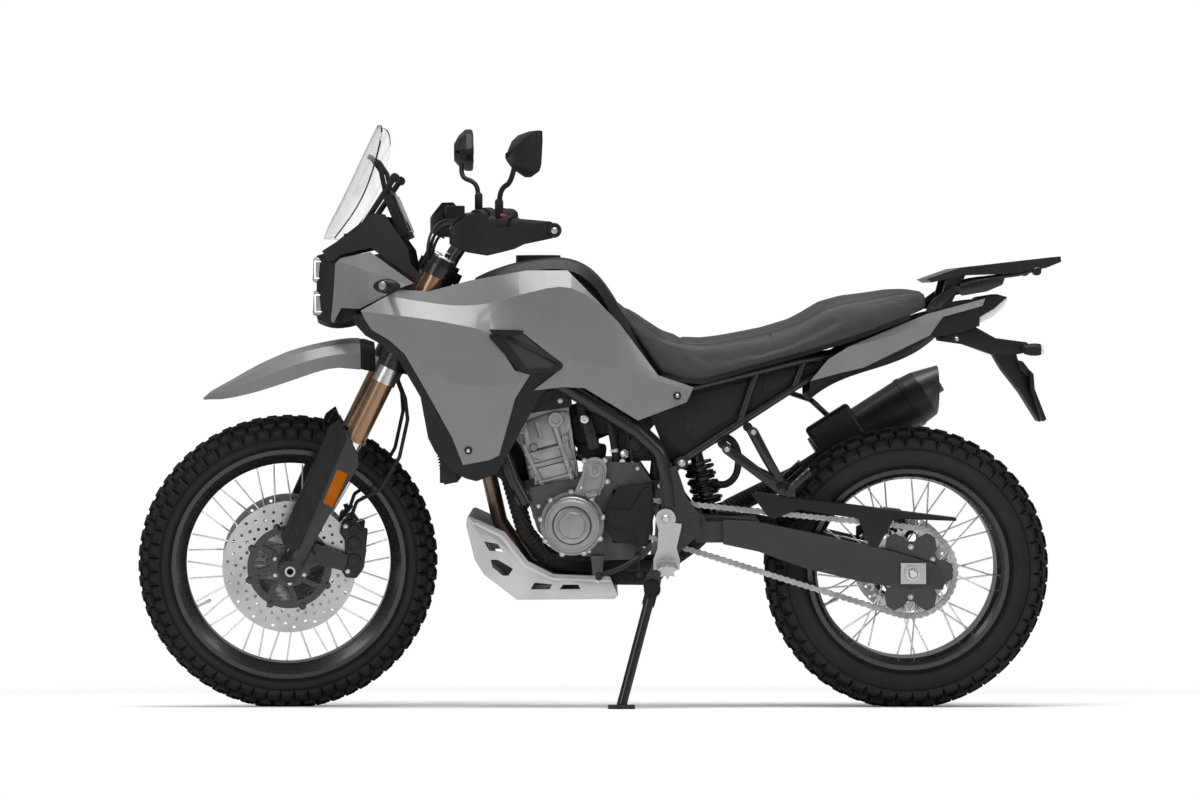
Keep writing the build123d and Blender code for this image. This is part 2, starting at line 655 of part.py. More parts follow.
radiator = side_plate([(-362, 556), (-330, 562), (-372, 800), (-404, 794)], -165, 165)
radiator += block(-372, -352, -165, 165, 560, 600)
for s in (-1, 1):
    radiator += rod((-352, s * 100, 716), (-262, s * 106, 716), 8.0) - down_tube(s, 14.3)
radiator = radiator.solids().sort_by(SortBy.VOLUME)[-1]

left_pipe = bent([*PORTS[0], (-214, -60, 580), (-172, -62, 430),
                  (-113, -60, 362), (-5, -50, 345), (60, -30, 330)], 34.0, 19.0)
right_pipe = bent([*PORTS[1], (-240, 60, 450), (-170, 56, 340),
                   (-60, 40, 305), (60, 20, 318)], 40.0, 19.0)
exhaust_header = left_pipe + right_pipe
MUFFLER_A = Vector(560, 192, 591)
MUFFLER_B = Vector(783, 192, 734)
MUFFLER_R = 66.0
mdir = (MUFFLER_B - MUFFLER_A).normalized()
exhaust_header += bent([(30, -2, 322), (120, 40, 316), (238, 152, 385), (330, 188, 470),
                        MUFFLER_A - mdir * 70, MUFFLER_A - mdir * 0.3], 40.0, 23.0)
muffler = rod(MUFFLER_A + mdir * 12, MUFFLER_B, MUFFLER_R)
muffler += rod(MUFFLER_A, MUFFLER_A + mdir * 12, MUFFLER_R - 5)
cone_plane = Plane(origin=MUFFLER_B, z_dir=mdir)
tip = loft([cone_plane * Circle(MUFFLER_R), cone_plane.offset(40) * Circle(MUFFLER_R - 4)])
tip += loft([cone_plane.offset(40) * Circle(MUFFLER_R - 4), cone_plane.offset(105) * Circle(42.0)])
tip -= block(851, 1000, 90, 300, 600, 900)
tip += pipe(MUFFLER_B + mdir * 30, MUFFLER_B + mdir * 88, 22.0, 18.0)
tip -= rod(MUFFLER_B + mdir * 12, MUFFLER_B + mdir * 120, 18.0)
muffler += tip
shield = Pos(592, 140, 664) * Rot(0, -32.7, 0) * pad_box(124, 34, 92, 10.0)
muffler += shield
hanger = bent([(452, RAIL_Y, 770), (536, 190, 740), (600, 192, 680)], 20.0, 7.0)
subframe += hanger - rod(MUFFLER_A - mdir * 5, MUFFLER_B + mdir * 5, MUFFLER_R + 0.3)

SKID = [(-310, 471), (-296, 478), (-213, 437), (-159, 359), (-125, 334), (29, 330), (51, 274),
        (-188, 262), (-262, 318), (-300, 400)]
skid_out = side_plate(SKID, -128, 128)
skid_in = side_plate([(-304, 500), (-180, 520), (60, 420), (70, 280), (-186, 267), (-258, 322),
                      (-295, 402)], -124, 124)
skid_plate = skid_out - skid_in
for s in (-1, 1):
    for x, z, w, h, turn in ((-252, 408, 46, 16, -24), (-238, 356, 44, 18, -36),
                             (-128, 296, 52, 15, 0), (-48, 294, 48, 15, 0)):
        cut = Pos(x, s * 126, z) * Rot(0, -turn, 0) * Box(w, 12, h)
        skid_plate -= cut

# ---------------------------------------------------------------- bodywork
# rows: x, then y and z of cover edge, ridge, crease, middle and bottom
BODY = [
    (-600, 95, 1075, 140, 1010, 160, 972, 154, 930, 130, 860),
    (-520, 112, 1075, 156, 1005, 182, 962, 180, 900, 160, 820),
    (-430, 122, 1080, 168, 992, 205, 952, 205, 860, 182, 700),
    (-340, 124, 1085, 176, 980, 220, 938, 224, 800, 196, 590),
    (-250, 120, 1095, 178, 985, 228, 915, 226, 790, 194, 560),
    (-150, 106, 1100, 174, 1012, 205, 860, 200, 800, 178, 560),
    (-60, 98, 1095, 166, 1020, 176, 850, 172, 790, 162, 650),
    (40, 84, 1040, 146, 955, 156, 830, 152, 760, 146, 650),
    (140, 74, 930, 120, 858, 138, 800, 138, 740, 132, 650),
    (250, 66, 850, 106, 800, 122, 770, 124, 730, 120, 640),
]


def dense(table, steps):
    """Rows of a section table with smoothly interpolated rows between them."""
    rows = []
    last = len(table) - 1
    for k in range(last):
        p0 = table[max(k - 1, 0)]
        p1 = table[k]
        p2 = table[k + 1]
        p3 = table[min(k + 2, last)]
        for j in range(steps):
            t = j / steps
            row = []
            for a, b, c, d in zip(p0, p1, p2, p3):
                m1 = (c - a) / 2 if k > 0 else c - b
                m2 = (d - b) / 2 if k < last - 1 else c - b
                h = (2 * t**3 - 3 * t**2 + 1) * b + (t**3 - 2 * t**2 + t) * m1
                h += (3 * t**2 - 2 * t**3) * c + (t**3 - t**2) * m2
                row.append(h)
            row[0] = p1[0] + t * (p2[0] - p1[0])
            rows.append(tuple(row))
    rows.append(table[-1])
    return rows


def envelope(table, corners, inset, grow):
    """Left half of a bodywork envelope moved inwards; grow carries its open edges further."""
    stations = []
    table = dense(table, 3)
    for k, row in enumerate(table):
        x = row[0]
        if grow and k in (0, len(table) - 1):
            x += -8 if k == 0 else 8
        pts = []
        for i in range(corners):
            drop = inset * 0.6 if i < corners - 3 else 0
            pts.append((-row[1 + 2 * i] + inset, row[2 + 2 * i] - drop))
        if grow:
            top = (pts[0][0] * 1.25 - pts[1][0] * 0.25, pts[0][1] * 1.25 - pts[1][1] * 0.25)
            low = (pts[-1][0] * 1.2 - pts[-2][0] * 0.2, pts[-1][1] * 1.2 - pts[-2][1] * 0.2)
            pts = [top] + pts[1:-1] + [low]
        back = -2 if grow else -12
        pts = [(back, pts[0][1])] + pts + [(back, pts[-1][1])]
        stations.append((x, pts))
    return loft_x(stations, ruled=True)


def body_shell(inset, wall):
    """Curved skin between two insets of the bodywork envelope."""
    return envelope(BODY, 5, inset, False) - envelope(BODY, 5, inset + wall, True)


FAIRING = [(-556, 968), (-546, 947), (-530, 923), (-487, 898), (-451, 867), (-396, 772),
           (-339, 668), (-315, 605), (-252, 617), (-230, 628), (-192, 761), (-157, 817),
           (-192, 827), (-252, 924), (-182, 922), (-80, 842), (-83, 832), (-97, 820),
           (-149, 780), (-81, 787), (-29, 784), (97, 706), (213, 749), (230, 784), (145, 813),
           (52, 938), (-69, 1062), (-166, 1062), (-301, 1038), (-396, 1013), (-467, 1017)]
INSERT = [(-268, 934), (-172, 934), (-60, 842), (-130, 770), (-176, 690), (-236, 584),
          (-311, 556), (-353, 569), (-364, 600), (-398, 668), (-415, 765), (-468, 855),
          (-502, 885), (-546, 909), (-571, 936), (-577, 956), (-540, 962), (-500, 925),
          (-448, 880), (-395, 790), (-372, 720), (-330, 680), (-290, 800)]
skin = body_shell(0.0, PANEL_WALL)
under = body_shell(PANEL_WALL + 0.5, PANEL_WALL)
left_fairing = skin & side_plate(FAIRING, -300, -40)
left_insert = under & side_plate(INSERT, -300, -90)
side_fairings = both(left_fairing)
fairing_inner_panels = both(left_insert)
room = envelope(BODY, 5, 2 * PANEL_WALL + 0.8, False)
for s in (-1, 1):
    boss = rod((-350, -163, 640), (-350, -260, 640), 8.0) & room
    radiator += boss if s < 0 else mirror_y(boss)
boss = rod((190, -98, 770), (190, -140, 765), 7.0) & envelope(BODY, 5, PANEL_WALL + 0.3, False)
subframe += boss
subframe += mirror_y(boss)

# tank with its raised black cover
TANK = [
    (-292, 1046, 1034, 112), (-230, 1072, 1046, 118), (-160, 1090, 1058, 118),
    (-60, 1090, 1058, 112), (40, 1002, 944, 108), (130, 900, 836, 92), (206, 822, 800, 82),
]
SEAT = [
    (41, 1000, 968, 40), (107, 949, 900, 58), (153, 920, 862, 76), (200, 906, 830, 104),
    (251, 903, 808, 134), (349, 918, 834, 158), (466, 949, 866, 162), (539, 985, 886, 158),
    (640, 1008, 930, 152), (740, 1022, 960, 138), (790, 1018, 978, 112),
]


def seat_form(extra):
    """Seat cushion, or the slightly larger pocket that it sits in."""
    stations = []
    for x, top, low, half in SEAT:
        top += 6 * extra
        h = top - low
        w = half + extra
        lo = low - extra
        pts = [(-w * 0.82, lo), (-w, low + h * 0.45), (-w * 0.86, top - h * 0.16),
               (-w * 0.45, top), (w * 0.45, top), (w * 0.86, top - h * 0.16),
               (w, low + h * 0.45), (w * 0.82, lo)]
        stations.append((x if extra == 0 or x > 41 else x - 1, pts))
    return loft_x(stations)


stations = []
for x, top, edge, half in TANK:
    low = edge - 110 if x < 100 else edge - 60
    pts = [(-half, edge + 2), (-half * 0.8, top - 7), (-half * 0.35, top), (half * 0.35, top),
           (half * 0.8, top - 7), (half, edge + 2), (half - 8, edge - 14), (half - 8, low),
           (8 - half, low), (8 - half, edge - 14)]
    stations.append((x, pts))
fuel_tank = loft_x(stations)
fuel_tank += rod((-142, 0, 1080), (-142, 0, 1100), 54.0)
fuel_tank = (fuel_tank - seat_form(1.5)).solids().sort_by(SortBy.VOLUME)[-1]
seat = seat_form(0)

# headlight cowl: grey cheeks and a black housing with two stacked lamps
COWL = [
    (-640, 84, 1112, 96, 1080, 96, 930),
    (-600, 100, 1118, 116, 1080, 118, 930),
    (-540, 116, 1118, 140, 1060, 146, 930),
    (-470, 134, 1090, 154, 1040, 170, 930),
    (-420, 140, 1070, 166, 1010, 190, 930),
]


cowl_skin = envelope(COWL, 3, 0, False) - envelope(COWL, 3, PANEL_WALL, True)
CHEEK = [(-622, 1080), (-610, 1092), (-538, 1107), (-432, 1032), (-470, 1019), (-562, 972),
         (-608, 974), (-628, 938), (-634, 944), (-628, 1000)]
headlight_cowl = both(cowl_skin & side_plate(CHEEK, -240, -40))
nose = loft_x([
    (-672, [(-60, 1099), (60, 1099), (64, 1036), (60, 950), (34, 938), (-34, 938), (-60, 950),
            (-64, 1036)]),
    (-640, [(-76, 1106), (76, 1106), (82, 1040), (74, 938), (40, 926), (-40, 926), (-74, 938),
            (-82, 1040)]),
    (-575, [(-82, 1106), (82, 1106), (90, 1040), (84, 950), (44, 935), (-44, 935),
            (-84, 950), (-90, 1040)]),
])
headlight_housing = nose
stay = block(-580, -410, -14, 14, 955, 985) - rod(on_fork(0, 0), on_fork(UPPER, 0), 27.3)
headlight_housing += stay.solids().sort_by(Axis.X)[0]
tab = block(-606, -582, -140, -80, 1010, 1050) & envelope(COWL, 3, PANEL_WALL + 0.3, False)
headlight_housing += tab
headlight_housing += mirror_y(tab)
COCKPIT = [(-655, 1104), (-622, 1124), (-531, 1191), (-503, 1188), (-447, 1106), (-440, 1068),
           (-414, 1040), (-432, 1034.5), (-537, 1109), (-611, 1094), (-622, 1083), (-640, 1078)]
panel = Pos(-640, -86, 0) * Rot(0, 0, -13) * Pos(640, 0, 0)
panel = panel * side_plate([((x + 640) / 0.974 - 640, z) for x, z in COCKPIT], -4, 0)
panel = Pos(0, 0, 1080) * Rot(-4, 0, 0) * Pos(0, 0, -1080) * panel
panel += block(-634, -610, -90, -60, 1086, 1104)
headlight_housing += panel
headlight_housing += mirror_y(panel)
headlamps = []
for zc in (1063.0, 988.0):
    lamp = Pos(-668, 0, zc) * Rot(0, 4, 0) * pad_box(26, 104, 62, 20.0, Axis.X)
    headlamps.append(lamp)
    headlight_housing -= Pos(-668, 0, zc) * Rot(0, 4, 0) * Box(27, 106, 64)


def screen_section(z, xc, xe, half, wall):
    """Curved band at height z, bowed forward in the middle."""
    outer = ThreePointArc((xe, -half, z), (xc, 0, z), (xe, half, z))
    inner = ThreePointArc((xe + wall, -half + 1, z), (xc + wall, 0, z), (xe + wall, half - 1, z))
    ends = [Line((xe, -half, z), (xe + wall, -half + 1, z)),
            Line((xe, half, z), (xe + wall, half - 1, z))]
    return face_of([outer, ends[1], inner, ends[0]])


windscreen = loft([
    screen_section(1140.0, -661.0, -628.0, 84.0, 4.0),
    screen_section(1218.0, -624.0, -566.0, 136.0, 4.0),
    screen_section(1335.0, -567.0, -520.0, 142.0, 4.0),
    screen_section(1382.0, -544.0, -512.0, 120.0, 4.0),
    screen_section(1404.0, -533.0, -514.0, 88.0, 4.0),
    screen_section(1411.0, -530.0, -522.0, 56.0, 4.0),
])

instrument_panel = Pos(-480, 0, 1196) * Rot(0, -23, 0) * pad_box(22, 176, 120, 14.0, Axis.X)
instrument_panel += block(-600, -464, -30, 30, 1142, 1154)
instrument_panel += block(-606, -592, -60, 60, 1105, 1152)
instrument_panel -= Pos(0, 0, 0.3) * nose
for s in (-1, 1):
    instrument_panel += bent([(-598, s * 56, 1145), (-565, s * 78, 1160),
                              (-504, s * 84, 1252), (-484, s * 84, 1282)], 12.0, 7.0)
    instrument_panel += across(-481, 1284, s * 84 - 8, s * 84 + 8, 11.0)
    instrument_panel += bent([(-504, s * 84, 1250), (-514, s * 86, 1300),
                              (-534, s * 88, 1330), (-542, s * 88, 1334)], 12.0, 6.0)



def lens_body(half_length, r):
    """Egg-shaped lamp body lying along x, flattened a little at both ends."""
    arc = ThreePointArc((-half_length, 0, r * 0.3), (-half_length * 0.12, 0, r),
                        (half_length, 0, r * 0.2))
    low = Polyline((half_length, 0, r * 0.2), (half_length, 0, 0), (-half_length, 0, 0),
                   (-half_length, 0, r * 0.3))
    return revolve(face_of([arc] + list(low.edges())), Axis.X)


front_indicators = []
for s in (-1, 1):
    arm = rod((-488, -140, 1023), (-486, -250, 1025), 9.0)
    arm -= envelope(COWL, 3, -0.3, False)
    arm = arm.solids().sort_by(SortBy.VOLUME)[-1]
    arm = arm if s < 0 else mirror_y(arm)
    front_indicators.append(arm + Pos(-486, s * 262, 1025) * lens_body(31, 17.5))

# ---------------------------------------------------------------- seat and tail
TAIL = [
    (500, 112, 892, 130, 862, 118, 770),
    (600, 112, 925, 134, 880, 122, 800),
    (700, 108, 960, 128, 905, 112, 840),
    (800, 98, 985, 112, 940, 98, 880),
    (900, 76, 1005, 90, 965, 78, 930),
    (990, 52, 1020, 62, 990, 56, 965),
]


tail_skin = envelope(TAIL, 3, 0, False) - envelope(TAIL, 3, PANEL_WALL, True)
TAIL_SIDE = [(507, 798), (549, 850), (597, 880), (783, 956), (930, 994), (922, 976), (824, 950),
             (793, 906), (634, 830), (580, 818)]
tail_panels = both(tail_skin & side_plate(TAIL_SIDE, -200, -12))
TRAY = [(507, 111, 752, 800), (600, 108, 806, 850), (700, 102, 838, 900), (812, 84, 902, 950)]
outer = loft_x([(x, [(-w, hi), (-w, lo + 14), (14 - w, lo), (w - 14, lo), (w, lo + 14), (w, hi)])
                for x, w, lo, hi in TRAY])
inner = loft_x([(x, [(4 - w, hi + 9), (4 - w, lo + 16), (16 - w, lo + 4), (w - 16, lo + 4),
                     (w - 4, lo + 16), (w - 4, hi + 9)])
                for x, w, lo, hi in [(499, 111, 748, 800)] + TRAY[1:3] + [(808, 84, 901, 950)]])
tail_underbody = outer - inner
tail_box = loft_x([
    (808, [(-84, 902), (84, 902), (80, 966), (-80, 966)]),
    (870, [(-66, 912), (66, 912), (64, 986), (-64, 986)]),
    (920, [(-50, 928), (50, 928), (50, 992), (-50, 992)]),
])
tail_underbody += tail_box
tail_inner = envelope(TAIL, 3, PANEL_WALL + 0.3, False)
for x, z in ((612, 838), (720, 888)):
    tab = block(x, x + 16, -140, -98, z, z + 20) & tail_inner
    tail_underbody += tab
    tail_underbody += mirror_y(tab)
tail_lamp = loft_x([
    (921, [(-44, 932), (44, 932), (48, 985), (-48, 985)]),
    (962, [(-40, 940), (40, 940), (46, 996), (-46, 996)]),
    (990, [(-32, 958), (32, 958), (38, 992), (-38, 992)]),
])

RACK = [(786, 1040), (861, 1066), (1110, 1094), (1112, 1081), (1073, 1066), (994, 1053),
        (870, 1049), (800, 1032)]
rack_plan = Polyline((760, -88, 0), (860, -112, 0), (1000, -106, 0), (1112, -70, 0), (1112, 70, 0),
                     (1000, 106, 0), (860, 112, 0), (760, 88, 0), close=True)
luggage_rack = side_plate(RACK, -120, 120) & Pos(0, 0, 1000) * extrude(make_face(rack_plan), 120)
for x in (905, 975, 1045):
    luggage_rack -= Pos(x, 0, 1060) * Rot(0, 0, 90) * extrude(SlotOverall(110, 26), 100, both=True)
for x, y in ((880, 78), (1030, 78)):
    for s in (-1, 1):
        luggage_rack -= Pos(x, s * y, 1060) * Rot(0, -6.9, 0) * extrude(
            Circle(RACK_HOLE_R), 100, both=True)
for s in (-1, 1):
    luggage_rack += side_plate([(836, 1038), (866, 1050), (884, 1052), (838, 960), (816, 960)],
                               s * 60, s * 72)
luggage_rack -= Pos(0, 0, 0.3) * tail_box

plate_holder = loft_x([
    (836, [(-56, 866), (56, 866), (54, 909), (-54, 909)]),
    (900, [(-50, 862), (50, 862), (48, 924), (-48, 924)]),
    (960, [(-44, 866), (44, 866), (42, 926), (-42, 926)]),
    (1042, [(-36, 864), (36, 864), (34, 888), (-34, 888)]),
])
plate_holder -= Pos(0, 0, -0.3) * tail_box
plate_holder += side_plate([(952, 866), (1040, 866), (1052, 800), (1088, 700), (1078, 696),
                            (1000, 800)], -26, 26)
plate_holder += Pos(1071, 0, 752) * Rot(0, -20, 0) * Box(4, 190, 128)
for s in (-1, 1):
    plate_holder += bent([(1012, s * 20, 872), (1016, s * 60, 874), (1022, s * 110, 878)],
                         10.0, 6.5)
    plate_holder += Pos(1026, s * 126, 880) * pad_box(46, 40, 28, 11.0)

# ---------------------------------------------------------------- rear suspension and drive
swingarm = across(PIVOT[0], PIVOT[1], -112, 112, 30.0)
ARM = [(300, 466), (384, 462), (495, 440), (707, 391), (812, 359), (829, 330), (824, 300),
       (700, 308), (632, 319), (495, 352), (384, 392), (300, 410)]
for s in (-1, 1):
    swingarm += side_plate(ARM, s * 110, s * 128)
    swingarm += side_plate([(214, 484), (300, 472), (388, 462), (388, 404), (300, 412),
                            (222, 436)], s * 60, s * 84)
    swingarm += side_plate([(300, 466), (388, 461.5), (388, 404), (300, 412)], s * 60, s * 128)
swingarm += block(236, 388, -110, 110, 412, 462)
swingarm -= across(RX, RZ, -200, 200, REAR_AXLE_R + 0.05)
swingarm -= across(PIVOT[0], PIVOT[1], -200, 200, 10.2)

rear_axle = across(RX, RZ, -146, 146, REAR_AXLE_R, AXLE_BORE_R)
rear_axle += across(RX, RZ, 62.4, 109.7, 17.0, REAR_AXLE_R - 0.5)
rear_axle += across(RX, RZ, -109.7, -62.4, 17.0, REAR_AXLE_R - 0.5)
for s in (-1, 1):
    rear_axle += Pos(RX + 2, s * 133, RZ) * Box(60, 8, 50)
    rear_axle += across(RX, RZ, s * 137 - 4, s * 137 + 4, 20.0)
rear_axle -= across(RX, RZ, -200, 200, AXLE_BORE_R)

# chain: two plate bands round the rear sprocket and the engine's output sprocket


def chain_loop(r_rear, r_front):
    """Closed band outline round both sprockets as a face in the side plane."""
    dx = RX - CS[0]
    dz = RZ - CS[1]
    dist = hypot(dx, dz)
    base = atan2(dz, dx)
    alpha = acos((r_front - r_rear) / dist)
    up = base + alpha
    dn = base - alpha
    f_up = Vector(CS[0] + r_front * cos(up), CHAIN_Y, CS[1] + r_front * sin(up))
    r_up = Vector(RX + r_rear * cos(up), CHAIN_Y, RZ + r_rear * sin(up))
    f_dn = Vector(CS[0] + r_front * cos(dn), CHAIN_Y, CS[1] + r_front * sin(dn))
    r_dn = Vector(RX + r_rear * cos(dn), CHAIN_Y, RZ + r_rear * sin(dn))
    f_mid = Vector(CS[0] - r_front * cos(base), CHAIN_Y, CS[1] - r_front * sin(base))
    r_mid = Vector(RX + r_rear * cos(base), CHAIN_Y, RZ + r_rear * sin(base))
    edges = [
        Line(f_up, r_up),
        ThreePointArc(r_up, r_mid, r_dn),
        Line(r_dn, f_dn),
        ThreePointArc(f_dn, f_mid, f_up),
    ]
    return face_of(edges)


band = chain_loop(CHAIN_OUTER_R, CSR + 8) - chain_loop(CHAIN_OUTER_R - 15.0, CSR - 7)
drive_chain = []
for s in (-1, 1):
    lo = CHAIN_Y + (3.9 if s > 0 else -7.7)
    plate = extrude(band, 3.8, dir=(0, 1, 0))
    drive_chain.append(Pos(0, lo - CHAIN_Y, 0) * plate)

chain_guard = side_plate([(378, 533), (483, 517), (600, 503), (707, 489), (856, 470), (854, 464),
                          (707, 470), (668, 400.4), (648, 405.0), (622, 470), (480, 492),
                          (420, 470), (404, 478), (366, 530)], -126, -122)
chain_guard += side_plate([(378, 533), (483, 517), (600, 503), (707, 489), (856, 470), (856, 466),
                           (707, 485), (600, 499), (483, 513), (378, 529)], -122, -84)

SHOCK_A = Vector(278, 0, 462.3)
SHOCK_B = Vector(239, 0, 620)
shock_absorber = rod(SHOCK_A, SHOCK_B, 16.0) - across(228, 624.5, -40, 40, 9.3)
shock_absorber -= block(200, 400, -60, 60, 400, 462.3)
sd = (SHOCK_B - SHOCK_A).normalized()
for i in range(7):
    a = SHOCK_A + sd * (45 + i * 12.5)
    shock_absorber += rod(a, a + sd * 7.5, 32.0)
shock_absorber += rod(SHOCK_A + sd * 36, SHOCK_A + sd * 42, 33.0)
shock_absorber += rod(SHOCK_A + sd * 134, SHOCK_A + sd * 140, 33.0)

side_covers = both(side_plate([(128, 700), (160, 755), (239, 768), (378, 800), (400, 790),
                               (330, 690), (210, 620)], -85.7, -80)
                   - across(239, 784.9, -90, -70, 9.3) - across(228, 624.5, -90, -70, 9.3))

rider_footrests = []
for s in (-1, 1):
    plate = side_plate([(138, 470), (184, 463), (200, 461), (199, 452), (188, 404), (196, 376),
                        (195, 352), (133, 352), (133, 377), (143, 404), (145, 446)],
                       s * 146, s * 153)
    plate += across(162, 473, s * 146, s * 156, 24.0)
    plate += across(162, 473, s * 155, s * 159, 14.0)
    tooth = [(24.0 if i % 2 == 0 else 16.0, radians(22.5 * i)) for i in range(16)]
    peg = side_plate([(164 + r * cos(t), 362 + r * sin(t)) for r, t in tooth], s * 153, s * 240)
    peg -= side_plate([(120, 420), (210, 420), (210, 368), (120, 368)], s * 166, s * 250)
    peg += across(164, 362, s * 150, s * 236, 9.0)
    spacer = across(168, 468, s * 137.3, s * 146, 12.0)
    spacer += across(168, 366, s * 137.3, s * 146, 10.0)
    rider_footrests.append(plate + peg + spacer)
gear = bent([(96, -152, 380), (60, -168, 360), (4, -172, 340)], 14.0, 6.0)
gear += across(4, 340, -192, -164, 9.0)
gear += across(96, 380, -156, -108.3, 8.0)
rider_footrests.append(gear)

passenger_footrests = []
for s in (-1, 1):
    a = rod((316, s * 114, 690), (458, s * 128, 545), 8.0)
    b = rod((386, s * 114, 734), (458, s * 128, 545), 8.0)
    foot = rod((458, s * 132, 545), (510, s * 150, 604), 11.0)
    passenger_footrests.append(a + b + foot)

rear_caliper = side_plate([(690, 420), (740, 402), (760, 446), (748, 474), (700, 480)], 70, 106)
rear_caliper -= across(RX, RZ, 88 - 4.5, 88 + 4.5, REAR_DISC_R + 5)
rear_caliper += side_plate([(690, 440), (720, 470), (640, 430), (640, 400)], 98, 109.7)

# ---------------------------------------------------------------- pose on the ground
def torus_bottom(centre, normal, ring):
    """Lowest height of a ring of given radius about a centre."""
    nz = normal.Z / normal.length
    return centre.Z - ring * sqrt(1 - nz * nz)


def steered(shape):
    return shape.rotate(Axis((STEER_X, 0, STEER_Z), STEER_DIR), STEER_REST)


def turn_about(p, axis, angle):
    """Rotate a vector about a unit axis through the origin."""
    a = radians(angle)
    return p * cos(a) + axis.cross(p) * sin(a) + axis * (axis.dot(p) * (1 - cos(a)))


ref = Vector(STEER_X, 0, STEER_Z)
front_c = ref + turn_about(Vector(FX, 0, FZ) - ref, STEER_DIR, STEER_REST)
front_n = turn_about(Vector(0, 1, 0), STEER_DIR, STEER_REST)
rear_c = Vector(RX, 0, RZ)
rear_n = Vector(0, 1, 0)


def leaned(v, pitch):
    """Direction or position after the lean about x and the pitch about y."""
    v = turn_about(v, Vector(1, 0, 0), LEAN)
    return turn_about(v, Vector(0, 1, 0), pitch)


pitch = 0.0
for _ in range(6):
    f = leaned(front_c, pitch)
    r = leaned(rear_c, pitch)
    low_f = torus_bottom(f, leaned(front_n, pitch), FRONT_TYRE_R - FRONT_CROWN_R) - FRONT_CROWN_R
    low_r = torus_bottom(r, leaned(rear_n, pitch), REAR_TYRE_R - REAR_CROWN_R) - REAR_CROWN_R
    pitch += degrees(asin((low_f - low_r) / (f.X - r.X)))
GROUND_LIFT = -low_r
SHIFT = Vector(0, 0, GROUND_LIFT)


def to_world(v):
    return leaned(v, pitch) + SHIFT


def to_bike(v):
    """Inverse of to_world."""
    v = turn_about(v - SHIFT, Vector(0, 1, 0), -pitch)
    return turn_about(v, Vector(1, 0, 0), -LEAN)


POSE = Pos(SHIFT.X, SHIFT.Y, SHIFT.Z) * Rot(0, pitch, 0) * Rot(LEAN, 0, 0)

# the leg's length puts the foot on the leaned ground
pivot_w = to_world(STAND_PIVOT)
dir_w = leaned(rest_dir, pitch)
FOOT_T = 7.0
leg_len = (pivot_w.Z - FOOT_T) / -dir_w.Z
foot_w = pivot_w + dir_w * leg_len
leg = rod(STAND_PIVOT + rest_dir * 26, STAND_PIVOT + rest_dir * (leg_len - 2), 12.0)
lug_plane = Plane(origin=STAND_PIVOT - stand_axis * 9, x_dir=rest_dir, z_dir=stand_axis)
leg += extrude(lug_plane * Pos(20, 0) * Rectangle(40, 30), 18)
knuckle = rod(STAND_PIVOT - stand_axis * 9, STAND_PIVOT + stand_axis * 9, 20.0)
foot_plan = Plane(origin=(foot_w.X, foot_w.Y, 0))
pad_w = extrude(foot_plan * RectangleRounded(64, 42, 14), FOOT_T + 3)
pad = Rot(-LEAN, 0, 0) * Rot(0, -pitch, 0) * Pos(-SHIFT.X, -SHIFT.Y, -SHIFT.Z) * pad_w
side_stand = leg + knuckle + pad
side_stand -= rod(STAND_PIVOT - stand_axis * 20, STAND_PIVOT + stand_axis * 20, 8.1)

# ---------------------------------------------------------------- export
STEERED = {
    "fork_outer_tubes": fork_outer_tubes,
    "fork_inner_tubes": fork_inner_tubes,
    "fork_bottoms": fork_bottoms,
    "fork_guards": fork_guards,
    "front_axle": front_axle,
    "triple_clamps": triple_clamps,
    "handlebar": handlebar,
    "hand_controls": hand_controls,
    "brake_hoses": brake_hoses,
    "handguards": handguards,
    "mirrors": mirrors,
    "front_calipers": front_calipers,
    "front_fender": front_fender,
    "front_tyre": front_tyre,
    "front_rim": front_rim,
    "front_spokes": front_spokes,
    "front_hub": front_hub,
    "front_discs": front_discs,
    "front_disc_carriers": front_carriers,
}
FIXED = {
    "rear_tyre": rear_tyre,
    "rear_rim": rear_rim,
    "rear_spokes": rear_spokes,
    "rear_hub": [rear_hub, cush, rear_carrier],
    "rear_sprocket": rear_sprocket,
    "rear_disc": rear_disc,
    "main_frame": main_frame,
    "subframe": subframe,
    "engine_crankcase": engine_crankcase,
    "engine_covers": engine_covers,
    "engine_cylinders": engine_cylinders,
    "air_box": air_box,
    "radiator": radiator,
    "exhaust_header": exhaust_header,
    "muffler": muffler,
    "skid_plate": skid_plate,
    "side_fairings": side_fairings,
    "fairing_inner_panels": fairing_inner_panels,
    "fuel_tank": fuel_tank,
    "headlight_cowl": headlight_cowl,
    "headlight_housing": headlight_housing,
    "headlamps": headlamps,
    "windscreen": windscreen,
    "instrument_panel": instrument_panel,
    "front_indicators": front_indicators,
    "seat": seat,
    "tail_panels": tail_panels,
    "tail_underbody": tail_underbody,
    "tail_lamp": tail_lamp,
    "luggage_rack": luggage_rack,
    "plate_holder": plate_holder,
    "swingarm": swingarm,
    "rear_axle": rear_axle,
    "drive_chain": drive_chain,
    "chain_guard": chain_guard,
    "shock_absorber": shock_absorber,
    "side_covers": side_covers,
    "rider_footrests": rider_footrests,
    "passenger_footrests": passenger_footrests,
    "rear_caliper": rear_caliper,
    "side_stand": side_stand,
}


def solids_of(shape):
    """Flat list of the solids in a shape or list of shapes."""
    if isinstance(shape, (list, tuple)):
        found = []
        for item in shape:
            found.extend(solids_of(item))
        return found
    return list(shape.solids())


placed = {}
for name, shape in STEERED.items():
    placed[name] = [POSE * steered(s) for s in solids_of(shape)]
for name, shape in FIXED.items():
    placed[name] = [POSE * s for s in solids_of(shape)]

boxes = [s.bounding_box() for group in placed.values() for s in group]
centre_x = (min(b.min.X for b in boxes) + max(b.max.X for b in boxes)) / 2
centre_y = (min(b.min.Y for b in boxes) + max(b.max.Y for b in boxes)) / 2
OFFSET = Pos(-centre_x, -centre_y, 0)


